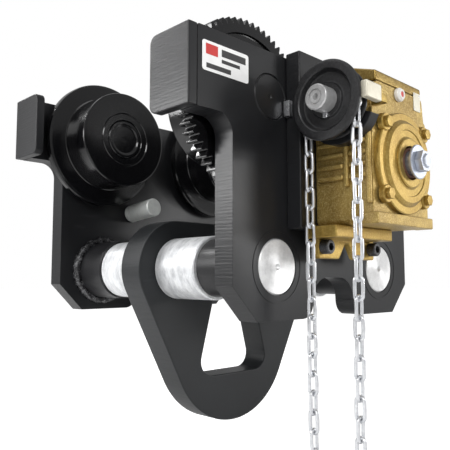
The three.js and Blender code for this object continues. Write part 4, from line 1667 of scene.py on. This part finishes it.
def studio() -> None:
    """Lay the pale floor and set the lamps, the surroundings and the camera."""
    floor_z = CAD_BOX[0].z - 0.012
    bpy.ops.object.select_all(action="DESELECT")
    bpy.ops.mesh.primitive_circle_add(vertices=96, radius=14, fill_type="NGON", location=(0, 0, 0))
    floor = bpy.context.object
    floor.name = "floor"
    floor.data.transform(Matrix.Translation((0, 0, floor_z)))
    sh = Shader("pale_floor")
    cloud = sh.noise(1.5, 3.0)
    seen = sh.node("ShaderNodeLightPath").value("Is Camera Ray")
    sh.set(Base_Color=sh.blend(cloud, (0.88, 0.88, 0.88), (0.9, 0.9, 0.9)), Roughness=cloud * 0.1 + 0.75,
           Emission_Color=sh.blend(seen, (0.05, 0.05, 0.05), (1.0, 1.0, 1.0)), Emission_Strength=0.6)
    floor.data.materials.append(sh.material)
    lamps = [
        lamp("key", (-2.2, -1.9, 1.5), (0, 0, -0.05), 1.1, 44),
        lamp("side", (1.38, -1.82, 0.26), (-0.05, -0.3, 0.0), 0.6, 15),
        lamp("panel", (-1.14, 0.60, 0.22), (-0.2, -0.15, 0.05), 0.4, 8),
        lamp("rim", (-0.74, 1.12, 0.95), (-0.2, 0.05, 0.1), 0.24, 8),
        lamp("top", (-0.5, 0.6, 2.4), (0, 0, 0), 1.8, 12),
    ]
    world = bpy.data.worlds.new("white_room")
    world.use_nodes = True
    tree = world.node_tree
    sky = tree.nodes["Background"]
    sky.inputs["Color"].default_value = (1, 1, 1, 1)
    seen = tree.nodes.new("ShaderNodeLightPath")
    strength = tree.nodes.new("ShaderNodeMapRange")
    strength.inputs["To Min"].default_value = 0.5
    strength.inputs["To Max"].default_value = 1.0
    tree.links.new(seen.outputs["Is Camera Ray"], strength.inputs["Value"])
    tree.links.new(strength.outputs["Result"], sky.inputs["Strength"])
    bpy.context.scene.world = world
    view = bpy.context.scene.view_settings
    view.view_transform = "Standard"
    data = bpy.data.cameras.new("camera")
    data.sensor_width = 36
    data.lens = 46.38
    camera = bpy.data.objects.new("camera", data)
    bpy.context.scene.collection.objects.link(camera)
    camera.location = (-0.7534, -0.7727, -0.1694)
    camera.rotation_euler = (math.radians(95.21), 0, math.radians(-44.27))
    bpy.context.scene.camera = camera


def main() -> None:
    """Build the trolley and the studio."""
    logging.basicConfig(level=logging.INFO, format="%(message)s")
    stock = Stock()
    for group in (SidePlates(stock), LoadGroup(stock), Wheels(stock), Gearbox(stock), HandDrive(stock),
                  Stub(stock)):
        group.build()
    studio()


if __name__ == "__main__":
    main()
